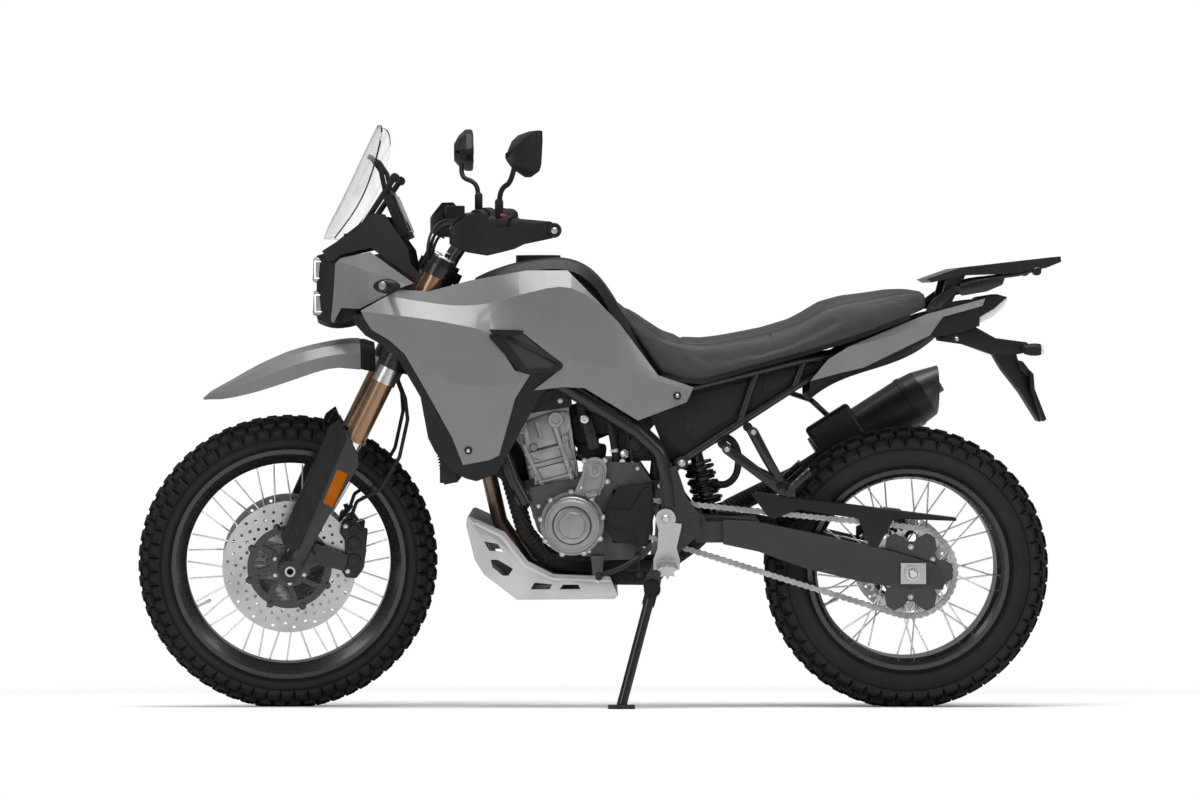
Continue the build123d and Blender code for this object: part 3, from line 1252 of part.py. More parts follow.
def report_point(label, v, is_dir=False):
    """Print a point or direction of the finished frame, in metres."""
    w = leaned(v, pitch) if is_dir else to_world(v) - Vector(centre_x, centre_y, 0)
    k = 1.0 if is_dir else 0.001
    print(label, [round(c * k, 6) for c in (w.X, w.Y, w.Z)])


for name, group in placed.items():
    moved = [OFFSET * s for s in group]
    whole = moved[0] if len(moved) == 1 else Compound(children=moved)
    export_step(whole, f"parts/{name}.step")

report_point("steer_pos", ref)
report_point("steer_axis", STEER_DIR, True)
report_point("front_centre", front_c)
report_point("front_axis", front_n, True)
report_point("rear_centre", rear_c)
report_point("rear_axis", rear_n, True)
report_point("stand_pivot", STAND_PIVOT)
report_point("stand_axis", stand_axis, True)
print("pitch", round(pitch, 5), "leg", round(leg_len, 2), "shift", round(centre_x, 4), round(centre_y, 4))
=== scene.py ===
"""Visual model of an adventure motorcycle: finishes, modelled pieces, light and camera."""

from __future__ import annotations

import json
import logging
from dataclasses import dataclass
from enum import Enum
from math import acos, atan2, cos, degrees, hypot, pi, radians, sin, sqrt, tau
from typing import Callable, Sequence

import bmesh
import bpy
from mathutils import Matrix, Vector


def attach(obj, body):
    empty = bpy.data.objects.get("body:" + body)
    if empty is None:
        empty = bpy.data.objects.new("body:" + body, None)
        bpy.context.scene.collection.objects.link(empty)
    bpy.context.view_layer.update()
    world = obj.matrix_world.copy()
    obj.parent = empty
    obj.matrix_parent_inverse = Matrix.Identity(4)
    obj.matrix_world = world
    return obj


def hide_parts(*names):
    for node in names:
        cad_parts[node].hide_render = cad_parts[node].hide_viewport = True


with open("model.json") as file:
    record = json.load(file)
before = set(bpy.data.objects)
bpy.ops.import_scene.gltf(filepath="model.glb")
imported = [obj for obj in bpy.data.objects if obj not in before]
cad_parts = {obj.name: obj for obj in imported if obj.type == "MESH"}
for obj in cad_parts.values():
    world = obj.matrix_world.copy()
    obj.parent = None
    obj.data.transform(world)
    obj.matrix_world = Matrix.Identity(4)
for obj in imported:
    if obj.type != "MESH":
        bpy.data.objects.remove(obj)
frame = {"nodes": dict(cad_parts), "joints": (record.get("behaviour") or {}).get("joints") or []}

LOG = logging.getLogger("motorcycle")
MM = 0.001

# directions on the upright machine, and the middles of its wheels as (x, z) in millimetres
LEFT, RIGHT, UP = (0, -1, 0), (0, 1, 0), (0, 0, 1)
AHEAD, BACK = (-1, 0, 0), (1, 0, 0)
ORIGIN = (0, 0, 0)
FRONT_HUB, REAR_HUB = (-750.0, 356.0), (750.0, 340.0)

Piece = bpy.types.Object
Socket = bpy.types.NodeSocket
Point = Sequence[float]
Outline = tuple[tuple[float, float], ...]
Stations = tuple[tuple[float, float, float, float], ...]


class Carrier(Enum):
    """The moving bodies that a piece can ride on."""

    CHASSIS = "chassis"
    STEERING = "steering"
    FRONT_WHEEL = "front_wheel"
    REAR_WHEEL = "rear_wheel"


class Grain(Enum):
    """Surface relief of a finish."""

    MOULDED = "moulded"
    PEEL = "peel"
    CAST = "cast"
    BRUSHED = "brushed"
    WOUND = "wound"
    RIBBED = "ribbed"
    HIDE = "hide"


# ------------------------------------------------------------------ geometry of the parked machine
@dataclass(frozen=True)
class ParkedPose:
    """Carries points of the upright, straight-ahead machine to where it is parked.

    Lengths are millimetres: +X to the rear, -Y to the left, +Z up, x = 0 midway
    between the axles.
    """

    lean: float = 8.0
    pitch: float = -0.10967
    steer: float = 9.0
    rake: float = 26.5
    steer_x: float = -474.0
    steer_z: float = 816.0

    def steering_axis(self) -> Vector:
        """Direction up the steering head."""
        return Vector((sin(radians(self.rake)), 0, cos(radians(self.rake))))

    def fixed(self) -> Matrix:
        """Upright millimetres to parked metres, for what doesn't steer.

        Returns:
            The matrix.
        """
        lean = Matrix.Rotation(radians(self.lean), 4, "X")
        turn = Matrix.Rotation(radians(self.pitch), 4, "Y") @ lean
        rear = Vector((REAR_HUB[0], 0, REAR_HUB[1])) * MM
        axle = next(j for j in frame["joints"] if j["name"] == "rear_wheel_spin")
        place = Vector(axle["pos_m"]) - turn @ rear
        return Matrix.Translation(place) @ turn @ Matrix.Scale(MM, 4)

    def steered(self) -> Matrix:
        """The same, for what turns with the handlebar.

        Returns:
            The matrix.
        """
        ref = Matrix.Translation((self.steer_x, 0, self.steer_z))
        spin = Matrix.Rotation(radians(self.steer), 4, self.steering_axis())
        return self.fixed() @ ref @ spin @ ref.inverted()

    def of(self, carrier: Carrier) -> Matrix:
        """The matrix for pieces on a carrier."""
        turns = carrier in (Carrier.STEERING, Carrier.FRONT_WHEEL)
        return self.steered() if turns else self.fixed()


POSE = ParkedPose()


# ------------------------------------------------------------------ finishes
class NodeBench:
    """Short calls that lay out one material's nodes."""

    def __init__(self, name: str) -> None:
        """Make a material with a Principled shader.

        Args:
            name: name of the material.
        """
        self.material = bpy.data.materials.new(name)
        self.material.use_nodes = True
        self.tree = self.material.node_tree
        self.shader = self.tree.nodes["Principled BSDF"]
        self.coord = self.tree.nodes.new("ShaderNodeTexCoord").outputs["Object"]

    def add(self, kind: str, **settings) -> bpy.types.Node:
        """Add a node and set it up.

        Args:
            kind: Blender's node type.
            settings: properties in small letters, and input sockets with a capital
                and underscores for the spaces.

        Returns:
            The node.
        """
        node = self.tree.nodes.new(kind)
        for key, value in settings.items():
            if key[0].isupper():
                node.inputs[key.replace("_", " ")].default_value = value
            else:
                setattr(node, key, value)
        return node

    def link(self, out: Socket, socket: Socket) -> None:
        """Join an output to an input."""
        self.tree.links.new(out, socket)

    def mapped(self, scale: Point, turn: Point) -> Socket:
        """Object coordinates turned and scaled.

        Args:
            scale: scale along each turned axis.
            turn: Euler angles that turn the pattern.

        Returns:
            The mapped coordinates.
        """
        turned_by = self.add("ShaderNodeMapping", Rotation=turn)
        self.link(self.coord, turned_by.inputs["Vector"])
        sized = self.add("ShaderNodeMapping", Scale=scale)
        self.link(turned_by.outputs["Vector"], sized.inputs["Vector"])
        return sized.outputs["Vector"]

    def noise(self, scale: float, detail: float = 3.0, vector: Socket | None = None) -> Socket:
        """Fractal noise.

        Args:
            scale: cells in a metre.
            detail: octaves.
            vector: coordinates, or None for plain Object coordinates.

        Returns:
            The factor.
        """
        node = self.add("ShaderNodeTexNoise", Scale=scale, Detail=detail)
        self.link(vector or self.coord, node.inputs["Vector"])
        return node.outputs["Fac"]

    def cells(self, scale: float, feature: str) -> Socket:
        """Voronoi cells.

        Args:
            scale: cells in a metre.
            feature: Blender's name of the distance measured.

        Returns:
            The distance.
        """
        node = self.add("ShaderNodeTexVoronoi", feature=feature, Scale=scale)
        self.link(self.coord, node.inputs["Vector"])
        return node.outputs["Distance"]

    def bands(self, scale: float, vector: Socket, distortion: float) -> Socket:
        """Waves along X.

        Args:
            scale: waves a metre, about.
            vector: coordinates.
            distortion: how far noise bends the waves.

        Returns:
            The factor.
        """
        node = self.add("ShaderNodeTexWave", Scale=scale, Distortion=distortion)
        self.link(vector, node.inputs["Vector"])
        return node.outputs["Fac"]

    def ramp(self, factor: Socket, low: Point, high: Point) -> Socket:
        """Blend two colours over the middle of a factor's range.

        Args:
            factor: what drives the blend.
            low: linear RGB at the low end.
            high: linear RGB at the high end.

        Returns:
            The colour.
        """
        node = self.add("ShaderNodeValToRGB")
        for stop, place, colour in zip(node.color_ramp.elements, (0.35, 0.65), (low, high)):
            stop.position = place
            stop.color = (*colour, 1)
        self.link(factor, node.inputs["Fac"])
        return node.outputs["Color"]

    def span(self, factor: Socket, **ends: float) -> Socket:
        """Map a factor between two spans of numbers.

        Args:
            factor: what is mapped.
            ends: From_Min, From_Max, To_Min or To_Max where they aren't 0 or 1.

        Returns:
            The number.
        """
        node = self.add("ShaderNodeMapRange", **ends)
        self.link(factor, node.inputs["Value"])
        return node.outputs["Result"]

    def relief(self, height: Socket, depth: float) -> Socket:
        """Bump of a depth in metres from a height of 0 to 1.

        Args:
            height: the height.
            depth: its full depth.

        Returns:
            The normal.
        """
        node = self.add("ShaderNodeBump", Distance=depth, Strength=1.0)
        self.link(height, node.inputs["Height"])
        return node.outputs["Normal"]


@dataclass(frozen=True)
class Finish:
    """One surface finish.

    Colours are linear RGB, relief depth is in metres, scale and patch are cells a
    metre of the relief and of the colour, and turn places wound and ribbed patterns.
    """

    name: str
    slot: str
    colour: tuple[float, float, float]
    shade: tuple[float, float, float]
    rough: tuple[float, float]
    grain: Grain
    depth: float
    scale: float
    metal: float = 0.0
    coat: float = 0.0
    patch: float = 9.0
    glass: float = 0.0
    glow: float = 0.0
    shine: float = 0.5
    turn: tuple[float, float, float] = (0.0, 0.0, 0.0)

    def height(self, bench: NodeBench) -> Socket:
        """Height pattern of the grain.

        Args:
            bench: the material's nodes.

        Returns:
            The height.
        """
        if self.grain is Grain.MOULDED:
            return bench.cells(self.scale, "F1")
        if self.grain is Grain.HIDE:
            return bench.cells(self.scale, "SMOOTH_F1")
        if self.grain is Grain.BRUSHED:
            return bench.noise(self.scale, 3.0, bench.mapped((1.0, 28.0, 28.0), self.turn))
        if self.grain in (Grain.WOUND, Grain.RIBBED):
            slant = bench.mapped((1.0, 1.0, 1.0), self.turn)
            return bench.bands(self.scale, slant, 0.3 if self.grain is Grain.WOUND else 0.0)
        return bench.noise(self.scale, 2.0 if self.grain is Grain.PEEL else 6.0)

    def material(self) -> bpy.types.Material:
        """The finish as a material, made once.

        Returns:
            The material.
        """
        known = bpy.data.materials.get(self.name)
        if known is not None:
            return known
        bench = NodeBench(self.name)
        sockets = bench.shader.inputs
        bench.link(bench.ramp(bench.noise(self.patch, 4.0), self.shade, self.colour),
                   sockets["Base Color"])
        low, high = self.rough
        bench.link(bench.span(bench.noise(self.patch * 12), To_Min=low, To_Max=high),
                   sockets["Roughness"])
        for socket, value in (("Metallic", self.metal), ("Specular IOR Level", self.shine),
                              ("Coat Weight", self.coat), ("Coat Roughness", 0.12),
                              ("Transmission Weight", self.glass)):
            sockets[socket].default_value = value
        if self.glow > 0:
            sockets["Emission Color"].default_value = (*self.colour, 1)
            sockets["Emission Strength"].default_value = self.glow
        bench.link(bench.relief(self.height(bench), self.depth), sockets["Normal"])
        return bench.material

    def dress(self, node: str) -> None:
        """Give a CAD node this finish.

        Args:
            node: name of the CAD node.
        """
        slots = frame["nodes"][node].data.materials
        slots.clear()
        slots.append(self.material())
        LOG.info("%s: %s", node, self.name)


GREY_PANEL = Finish("grey_panel_paint", "grey_panel", (0.127, 0.127, 0.133), (0.117, 0.117, 0.123),
                    (0.30, 0.42), coat=0.28, grain=Grain.PEEL, depth=0.00003, scale=420, shine=0.45)
BLACK_MOULDED = Finish("black_moulded_plastic", "black_plastic", (0.0085, 0.0085, 0.0092),
                       (0.0060, 0.0060, 0.0065), (0.40, 0.56), grain=Grain.MOULDED,
                       depth=0.00008, scale=1100, shine=0.20)
GUARD_PLASTIC = Finish("charcoal_guard_plastic", "black_plastic", (0.025, 0.025, 0.027),
                       (0.020, 0.020, 0.022), (0.38, 0.50), grain=Grain.MOULDED,
                       depth=0.00006, scale=1300, shine=0.28)
FRAME_PAINT = Finish("black_frame_paint", "black_frame", (0.0085, 0.0085, 0.0092),
                     (0.0060, 0.0060, 0.0065), (0.22, 0.34), coat=0.15, grain=Grain.PEEL,
                     depth=0.00003, scale=500, shine=0.28)
CAST_ALLOY = Finish("cast_engine_alloy", "engine_alloy", (0.31, 0.31, 0.312),
                    (0.19, 0.19, 0.192), (0.36, 0.54), metal=0.7, grain=Grain.CAST,
                    depth=0.00016, scale=900, patch=14)
CASE_ALLOY = Finish("dark_crankcase_alloy", "engine_alloy", (0.075, 0.075, 0.076),
                    (0.045, 0.045, 0.046), (0.42, 0.60), metal=0.5, grain=Grain.CAST,
                    depth=0.00016, scale=900, patch=16, shine=0.35)
COVER_ALLOY = Finish("machined_cover_alloy", "engine_alloy", (0.245, 0.245, 0.248),
                     (0.17, 0.17, 0.172), (0.26, 0.40), metal=0.85, grain=Grain.CAST,
                     depth=0.00008, scale=700, patch=18)
BRUSHED_PLATE = Finish("brushed_plate", "plate_alloy", (0.43, 0.43, 0.44), (0.35, 0.35, 0.36),
                       (0.30, 0.46), metal=0.8, grain=Grain.BRUSHED, depth=0.00005, scale=60)
DISC_STEEL = Finish("disc_steel", "steel", (0.38, 0.38, 0.385), (0.29, 0.29, 0.295),
                    (0.26, 0.38), metal=0.92, grain=Grain.BRUSHED, depth=0.00003, scale=80)
CHAIN_STEEL = Finish("chain_steel", "steel", (0.36, 0.355, 0.35), (0.18, 0.176, 0.17),
                     (0.30, 0.44), metal=0.92, grain=Grain.CAST, depth=0.00005, scale=900)
BOLT_STEEL = Finish("zinc_bolt_steel", "steel", (0.50, 0.50, 0.50), (0.38, 0.38, 0.38),
                    (0.24, 0.34), metal=0.95, grain=Grain.CAST, depth=0.00002, scale=1500)
BRONZE = Finish("bronze_anodised", "fork_gold", (0.245, 0.150, 0.088), (0.205, 0.124, 0.072),
                (0.24, 0.34), metal=0.8, coat=0.2, grain=Grain.BRUSHED, depth=0.00002, scale=70)
CHROME = Finish("polished_steel", "chrome", (0.66, 0.66, 0.67), (0.58, 0.58, 0.59),
                (0.08, 0.16), metal=1.0, grain=Grain.PEEL, depth=0.00001, scale=500)
TREAD = Finish("tyre_rubber", "tyre", (0.0120, 0.0120, 0.0125), (0.0080, 0.0080, 0.0085),
               (0.60, 0.80), grain=Grain.CAST, depth=0.00016, scale=700, shine=0.22)
GLOSS_BLACK = Finish("gloss_black", "rim_black", (0.009, 0.009, 0.010), (0.007, 0.007, 0.008),
                     (0.22, 0.32), coat=0.25, grain=Grain.PEEL, depth=0.00002, scale=400,
                     shine=0.40)
SATIN_BLACK = Finish("satin_exhaust_black", "rim_black", (0.014, 0.014, 0.015),
                     (0.010, 0.010, 0.011), (0.36, 0.48), metal=0.3, grain=Grain.CAST,
                     depth=0.00004, scale=1200, shine=0.30)
CAP_BLACK = Finish("satin_end_cap_black", "rim_black", (0.040, 0.040, 0.042),
                   (0.030, 0.030, 0.032), (0.32, 0.42), metal=0.3, grain=Grain.CAST,
                   depth=0.00004, scale=1200)
RUBBER = Finish("black_rubber", "rubber", (0.0125, 0.0125, 0.0125), (0.0085, 0.0085, 0.0085),
                (0.58, 0.76), grain=Grain.MOULDED, depth=0.00012, scale=620, shine=0.25)
SCREEN = Finish("clear_screen", "clear", (0.93, 0.935, 0.94), (0.91, 0.915, 0.92), (0.03, 0.06),
                grain=Grain.PEEL, depth=0.00001, scale=200, glass=1.0)
SADDLE = Finish("saddle_vinyl", "seat_cover", (0.0270, 0.0270, 0.0285), (0.0220, 0.0220, 0.0235),
                (0.50, 0.64), grain=Grain.HIDE, depth=0.00025, scale=520, shine=0.28)
SADDLE_SEAM = Finish("saddle_seam_thread", "seat_cover", (0.022, 0.022, 0.023),
                     (0.016, 0.016, 0.017), (0.60, 0.74), grain=Grain.RIBBED, depth=0.0003,
                     scale=160)
WRAP = Finish("wound_header_wrap", "wrap", (0.024, 0.023, 0.022), (0.012, 0.011, 0.011),
              (0.70, 0.90), grain=Grain.WOUND, depth=0.0016, scale=30, shine=0.20,
              turn=(0.0, 0.6, 0.0))
LAMP = Finish("lamp_glass", "lamp_clear", (0.62, 0.63, 0.64), (0.50, 0.51, 0.53),
              (0.05, 0.12), coat=0.9, grain=Grain.RIBBED, depth=0.0003, scale=60)
LED_BAR = Finish("led_light_bar", "lamp_clear", (0.95, 0.96, 1.0), (0.86, 0.88, 0.94),
                 (0.10, 0.20), coat=0.6, glow=0.35, grain=Grain.PEEL, depth=0.00003, scale=200)
HEADLAMP = Finish("headlamp_glass", "lamp_clear", (0.26, 0.265, 0.27), (0.17, 0.175, 0.18),
                  (0.06, 0.14), coat=0.7, grain=Grain.RIBBED, depth=0.0005, scale=90)
AMBER = Finish("amber_reflector", "lamp_clear", (0.44, 0.125, 0.002), (0.30, 0.075, 0.002),
               (0.24, 0.36), grain=Grain.RIBBED, depth=0.0009, scale=150, shine=0.08)
START_RED = Finish("red_switch_cap", "rubber", (0.42, 0.05, 0.02), (0.34, 0.035, 0.015),
                   (0.34, 0.44), grain=Grain.PEEL, depth=0.00004, scale=600)
DISPLAY = Finish("display_glass", "black_plastic", (0.006, 0.007, 0.009),
                 (0.004, 0.005, 0.006), (0.06, 0.10), coat=1.0, grain=Grain.PEEL,
                 depth=0.00001, scale=90)
MIRROR = Finish("mirror_glass", "chrome", (0.80, 0.81, 0.82), (0.76, 0.77, 0.78), (0.02, 0.05),
                metal=1.0, grain=Grain.PEEL, depth=0.000005, scale=60)
HOT_STEEL = Finish("heated_pipe_steel", "wrap", (0.20, 0.145, 0.105), (0.12, 0.085, 0.065),
                   (0.30, 0.46), metal=0.8, grain=Grain.CAST, depth=0.00006, scale=400, patch=22)

NODE_FINISHES: dict[Finish, tuple[str, ...]] = {
    GREY_PANEL: ("side_fairings", "headlight_cowl", "tail_panels", "front_fender"),
    BLACK_MOULDED: ("fairing_inner_panels", "fuel_tank", "headlight_housing", "instrument_panel",
                    "front_indicators", "tail_underbody", "plate_holder", "chain_guard",
                    "side_covers", "handguards", "mirrors", "air_box"),
    GUARD_PLASTIC: ("fork_guards", "swingarm"),
    FRAME_PAINT: ("main_frame", "subframe", "luggage_rack", "shock_absorber",
                  "passenger_footrests", "rear_caliper", "fork_bottoms", "triple_clamps",
                  "handlebar", "front_calipers", "side_stand"),
    CAST_ALLOY: ("engine_cylinders",),
    CASE_ALLOY: ("engine_crankcase",),
    COVER_ALLOY: ("engine_covers",),
    BRUSHED_PLATE: ("skid_plate", "rider_footrests"),
    DISC_STEEL: ("rear_axle", "front_axle", "front_discs", "rear_sprocket", "rear_disc"),
    CHAIN_STEEL: ("drive_chain",),
    BRONZE: ("fork_outer_tubes",),
    CHROME: ("fork_inner_tubes", "front_spokes", "rear_spokes"),
    TREAD: ("front_tyre", "rear_tyre"),
    GLOSS_BLACK: ("front_rim", "rear_rim", "front_hub", "rear_hub", "front_disc_carriers"),
    SATIN_BLACK: ("muffler",),
    RUBBER: ("hand_controls", "brake_hoses", "radiator"),
    SCREEN: ("windscreen",),
    SADDLE: ("seat",),
    WRAP: ("exhaust_header",),
    LAMP: ("headlamps", "tail_lamp"),
}


def mix_finish(node: str, finish: Finish, wants: Callable[[Vector], bool],
               carrier: Carrier = Carrier.CHASSIS) -> None:
    """Give part of a CAD node another finish.

    Args:
        node: name of the CAD node.
        finish: finish of the chosen faces.
        wants: test of a face's centre in upright millimetres.
        carrier: body of the node.
    """
    mesh = frame["nodes"][node].data
    mesh.materials.append(finish.material())
    back = POSE.of(carrier).inverted()
    for face in mesh.polygons:
        if wants(back @ face.center):
            face.material_index = len(mesh.materials) - 1


# ------------------------------------------------------------------ modelling by operators
def alone(piece: Piece) -> Piece:
    """Select one object only and make it active.

    Args:
        piece: the object.

    Returns:
        The object.
    """
    bpy.ops.object.select_all(action="DESELECT")
    piece.select_set(True)
    bpy.context.view_layer.objects.active = piece
    return piece


def fresh() -> Piece:
    """The object that was just added, alone in the selection."""
    return alone(bpy.context.active_object)


def settle(piece: Piece, name: str, finish: Finish,
           carrier: Carrier = Carrier.CHASSIS, angle: float = 35.0) -> Piece:
    """Put a piece modelled in upright millimetres in its parked place and dress it.

    Args:
        piece: the modelled object.
        name: its final name.
        finish: its finish.
        carrier: body that it rides on.
        angle: faces that meet at less than this many degrees look smooth.

    Returns:
        The piece.
    """
    alone(piece).matrix_world = POSE.of(carrier) @ piece.matrix_world
    bpy.ops.object.transform_apply(location=True, rotation=True, scale=True)
    piece.name = piece.data.name = name
    piece.data.materials.clear()
    piece.data.materials.append(finish.material())
    bpy.ops.object.shade_smooth_by_angle(angle=radians(angle))
    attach(piece, carrier.value)
    piece.select_set(False)
    LOG.info("%s on %s: %s", name, carrier.value, finish.name)
    return piece


def edit_all() -> None:
    """Open the active piece with all of it selected."""
    bpy.ops.object.mode_set(mode="EDIT")
    bpy.ops.mesh.select_all(action="SELECT")


def close_outwards() -> None:
    """Point the open piece's faces outwards and leave edit mode."""
    bpy.ops.mesh.select_all(action="SELECT")
    bpy.ops.mesh.normals_make_consistent(inside=False)
    bpy.ops.object.mode_set(mode="OBJECT")


def pick_top(piece: Piece) -> None:
    """Select only the faces that look up on a piece in edit mode.

    Args:
        piece: the open piece.
    """
    bpy.ops.mesh.select_mode(type="FACE")
    bpy.ops.mesh.select_all(action="DESELECT")
    for face in bmesh.from_edit_mesh(piece.data).faces:
        face.select = face.normal.z > 0.9
    bmesh.update_edit_mesh(piece.data)


def push(way: Point) -> None:
    """Extrude what is selected by a vector."""
    bpy.ops.mesh.extrude_region_move(TRANSFORM_OT_translate={"value": way})


def modify(piece: Piece, kind: str, **settings) -> None:
    """Add a modifier, set it and apply it.

    Args:
        piece: the piece to change.
        kind: Blender's modifier type.
        settings: its properties.
    """
    modifier = piece.modifiers.new(kind.lower(), kind)
    for key, value in settings.items():
        setattr(modifier, key, value)
    bpy.context.view_layer.objects.active = piece
    bpy.ops.object.modifier_apply(modifier=modifier.name)


def round_edges(piece: Piece, width: float, angle: float = 30.0) -> None:
    """Round the edges sharper than an angle in degrees."""
    modify(piece, "BEVEL", width=width, segments=2, limit_method="ANGLE",
           angle_limit=radians(angle))


def carve(piece: Piece, cutter: Piece) -> None:
    """Cut one piece with another, which goes."""
    modify(piece, "BOOLEAN", operation="DIFFERENCE", object=cutter)
    bpy.data.objects.remove(cutter)


def facing(origin: Point, way: Point) -> Matrix:
    """Matrix that carries +Z onto a direction at a point."""
    turn = Vector(way).to_track_quat("Z", "Y").to_matrix().to_4x4()
    return Matrix.Translation(Vector(origin)) @ turn


def circle(centre: tuple[float, float], radius: float, count: int,
           start: float) -> list[tuple[float, float]]:
    """Even spots round a centre in the side view.

    Args:
        centre: its (x, z).
        radius: radius of the circle.
        count: number of spots.
        start: angle of the first one in degrees.

    Returns:
        The (x, z) of each spot.
    """
    turns = [radians(start + 360 // count * i) for i in range(count)]
    return [(centre[0] + radius * cos(a), centre[1] + radius * sin(a)) for a in turns]


def set_corners(corners: Sequence, places: Sequence[Point]) -> None:
    """Move corners to their places."""
    for corner, place in zip(corners, places):
        corner.co = place


def plate(points: Outline, y0: float, y1: float, rounding: float = 0.0) -> Piece:
    """Plate with an outline in the side view.

    Args:
        points: corners (x, z) in millimetres.
        y0: one side.
        y1: other side.
        rounding: width of the rounded edges.

    Returns:
        The plate.
    """
    bpy.ops.mesh.primitive_circle_add(vertices=len(points), radius=1, fill_type="NGON")
    piece = fresh()
    set_corners(piece.data.vertices, [(x, y0, z) for x, z in points])
    edit_all()
    push((0, y1 - y0, 0))
    close_outwards()
    if rounding > 0:
        round_edges(piece, rounding)
    return piece


def lofted(rings: Sequence[Sequence[Point]]) -> Piece:
    """Closed form carried through rings of equal corner counts.

    Args:
        rings: the corners of each ring, in order.

    Returns:
        The form.
    """
    count = len(rings[0])
    bpy.ops.mesh.primitive_circle_add(vertices=count, radius=1, fill_type="NGON")
    piece = fresh()
    set_corners(piece.data.vertices, rings[0])
    for ring in rings[1:]:
        bpy.ops.object.mode_set(mode="EDIT")
        push(BACK)
        bpy.ops.object.mode_set(mode="OBJECT")
        set_corners(piece.data.vertices[-count:], ring)
    bpy.ops.object.mode_set(mode="EDIT")
    close_outwards()
    return piece


def turned(steps: Sequence[tuple[float, float]], origin: Point, way: Point,
           sides: int = 32) -> Piece:
    """Piece turned about an axis: a disc carried along it and resized at each step.

    Args:
        steps: distance along the axis and radius of each step.
        origin: start of the axis.
        way: direction of the axis.
        sides: number of sides.

    Returns:
        The turned piece.
    """
    start, radius = steps[0]
    bpy.ops.mesh.primitive_circle_add(vertices=sides, radius=radius, fill_type="NGON",
                                      location=(0, 0, start))
    piece = fresh()
    bpy.ops.object.transform_apply(location=True)
    edit_all()
    for along, r in steps[1:]:
        push((0, 0, along - start))
        scale = r / radius
        bpy.ops.transform.resize(value=(scale, scale, 1), center_override=(0, 0, along))
        start, radius = along, r
    close_outwards()
    piece.data.transform(facing(origin, way))
    return piece


def padded_box(size: Point, centre: Point, rounding: float, turn: Point = ORIGIN) -> Piece:
    """Box with rounded edges.

    Args:
        size: lengths of its sides.
        centre: its middle.
        rounding: width of the rounding.
        turn: Euler angles in degrees.

    Returns:
        The box.
    """
    bpy.ops.mesh.primitive_cube_add(size=1)
    piece = fresh()
    edit_all()
    bpy.ops.transform.resize(value=size)
    bpy.ops.mesh.bevel(offset=rounding, segments=3, affect="EDGES")
    bpy.ops.object.mode_set(mode="OBJECT")
    spin = Matrix.Identity(4)
    for angle, axis in zip(turn, "XYZ"):
        spin = Matrix.Rotation(radians(angle), 4, axis) @ spin
    piece.data.transform(Matrix.Translation(Vector(centre)) @ spin)
    return piece


def pipe(points: Sequence[Point], radius: float) -> Piece:
    """Round bar, hose or cable along a smooth line.

    Args:
        points: control points in millimetres.
        radius: its radius.

    Returns:
        The piece as a mesh.
    """
    bpy.ops.curve.primitive_nurbs_path_add()
    piece = fresh()
    curve = piece.data
    curve.splines.clear()
    spline = curve.splines.new("NURBS")
    spline.points.add(len(points) - 1)
    for knot, place in zip(spline.points, points):
        knot.co = (*place, 1)
    spline.order_u = 3
    spline.use_endpoint_u = True
    spline.resolution_u = 6
    curve.dimensions = "3D"
    curve.bevel_depth = radius
    curve.bevel_resolution = 3
    curve.use_fill_caps = True
    bpy.ops.object.convert(target="MESH")
    return piece


def join(pieces: Sequence[Piece]) -> Piece:
    """Join pieces into the first one.

    Args:
        pieces: one or more pieces.

    Returns:
        The joined piece.
    """
    alone(pieces[0])
    for piece in pieces[1:]:
        piece.select_set(True)
    if len(pieces) > 1:
        bpy.ops.object.join()
    return pieces[0]


def twin(model: Piece, place: Matrix) -> Piece:
    """Copy of a piece with its own mesh, moved.

    Args:
        model: the piece.
        place: matrix applied to the copy's mesh.

    Returns:
        The copy.
    """
    other = model.copy()
    other.data = model.data.copy()
    bpy.context.scene.collection.objects.link(other)
    other.data.transform(place)
    return other


def copies(model: Piece, places: Sequence[Matrix]) -> Piece:
    """Copies of one modelled shape, joined; the model goes.

    Args:
        model: the shape.
        places: matrix of each copy.

    Returns:
        The joined copies.
    """
    made = [twin(model, place) for place in places]
    bpy.data.objects.remove(model)
    return join(made)


def mirrored(piece: Piece) -> Piece:
    """The piece with its mirror image across the middle plane.

    Args:
        piece: piece of one side.

    Returns:
        Both sides as one piece.
    """
    other = twin(piece, Matrix.Scale(-1, 4, RIGHT))
    other.data.flip_normals()
    return join([piece, other])


def on_skin(node: str, x: float, z: float) -> tuple[Vector, Vector]:
    """Where a line across the machine meets a chassis node's left side from outside.

    Args:
        node: CAD node to meet.
        x: place along the machine in upright millimetres.
        z: height in upright millimetres.

    Returns:
        The point and the outward normal.
    """
    to_world = POSE.fixed()
    start = to_world @ Vector((x, -700, z))
    way = (to_world.to_3x3() @ Vector(RIGHT)).normalized()
    _, place, normal, _ = frame["nodes"][node].ray_cast(start, way)
    back = to_world.inverted()
    out = (back.to_3x3() @ normal).normalized()
    return back @ place, out if out.y < 0 else -out


# ------------------------------------------------------------------ fasteners
class Head(Enum):
    """Shape of a fastener's head, with its sides and height at radius 1."""

    SOCKET = (16, 0.9)
    BUTTON = (16, 0.5)
    HEX = (6, 0.75)


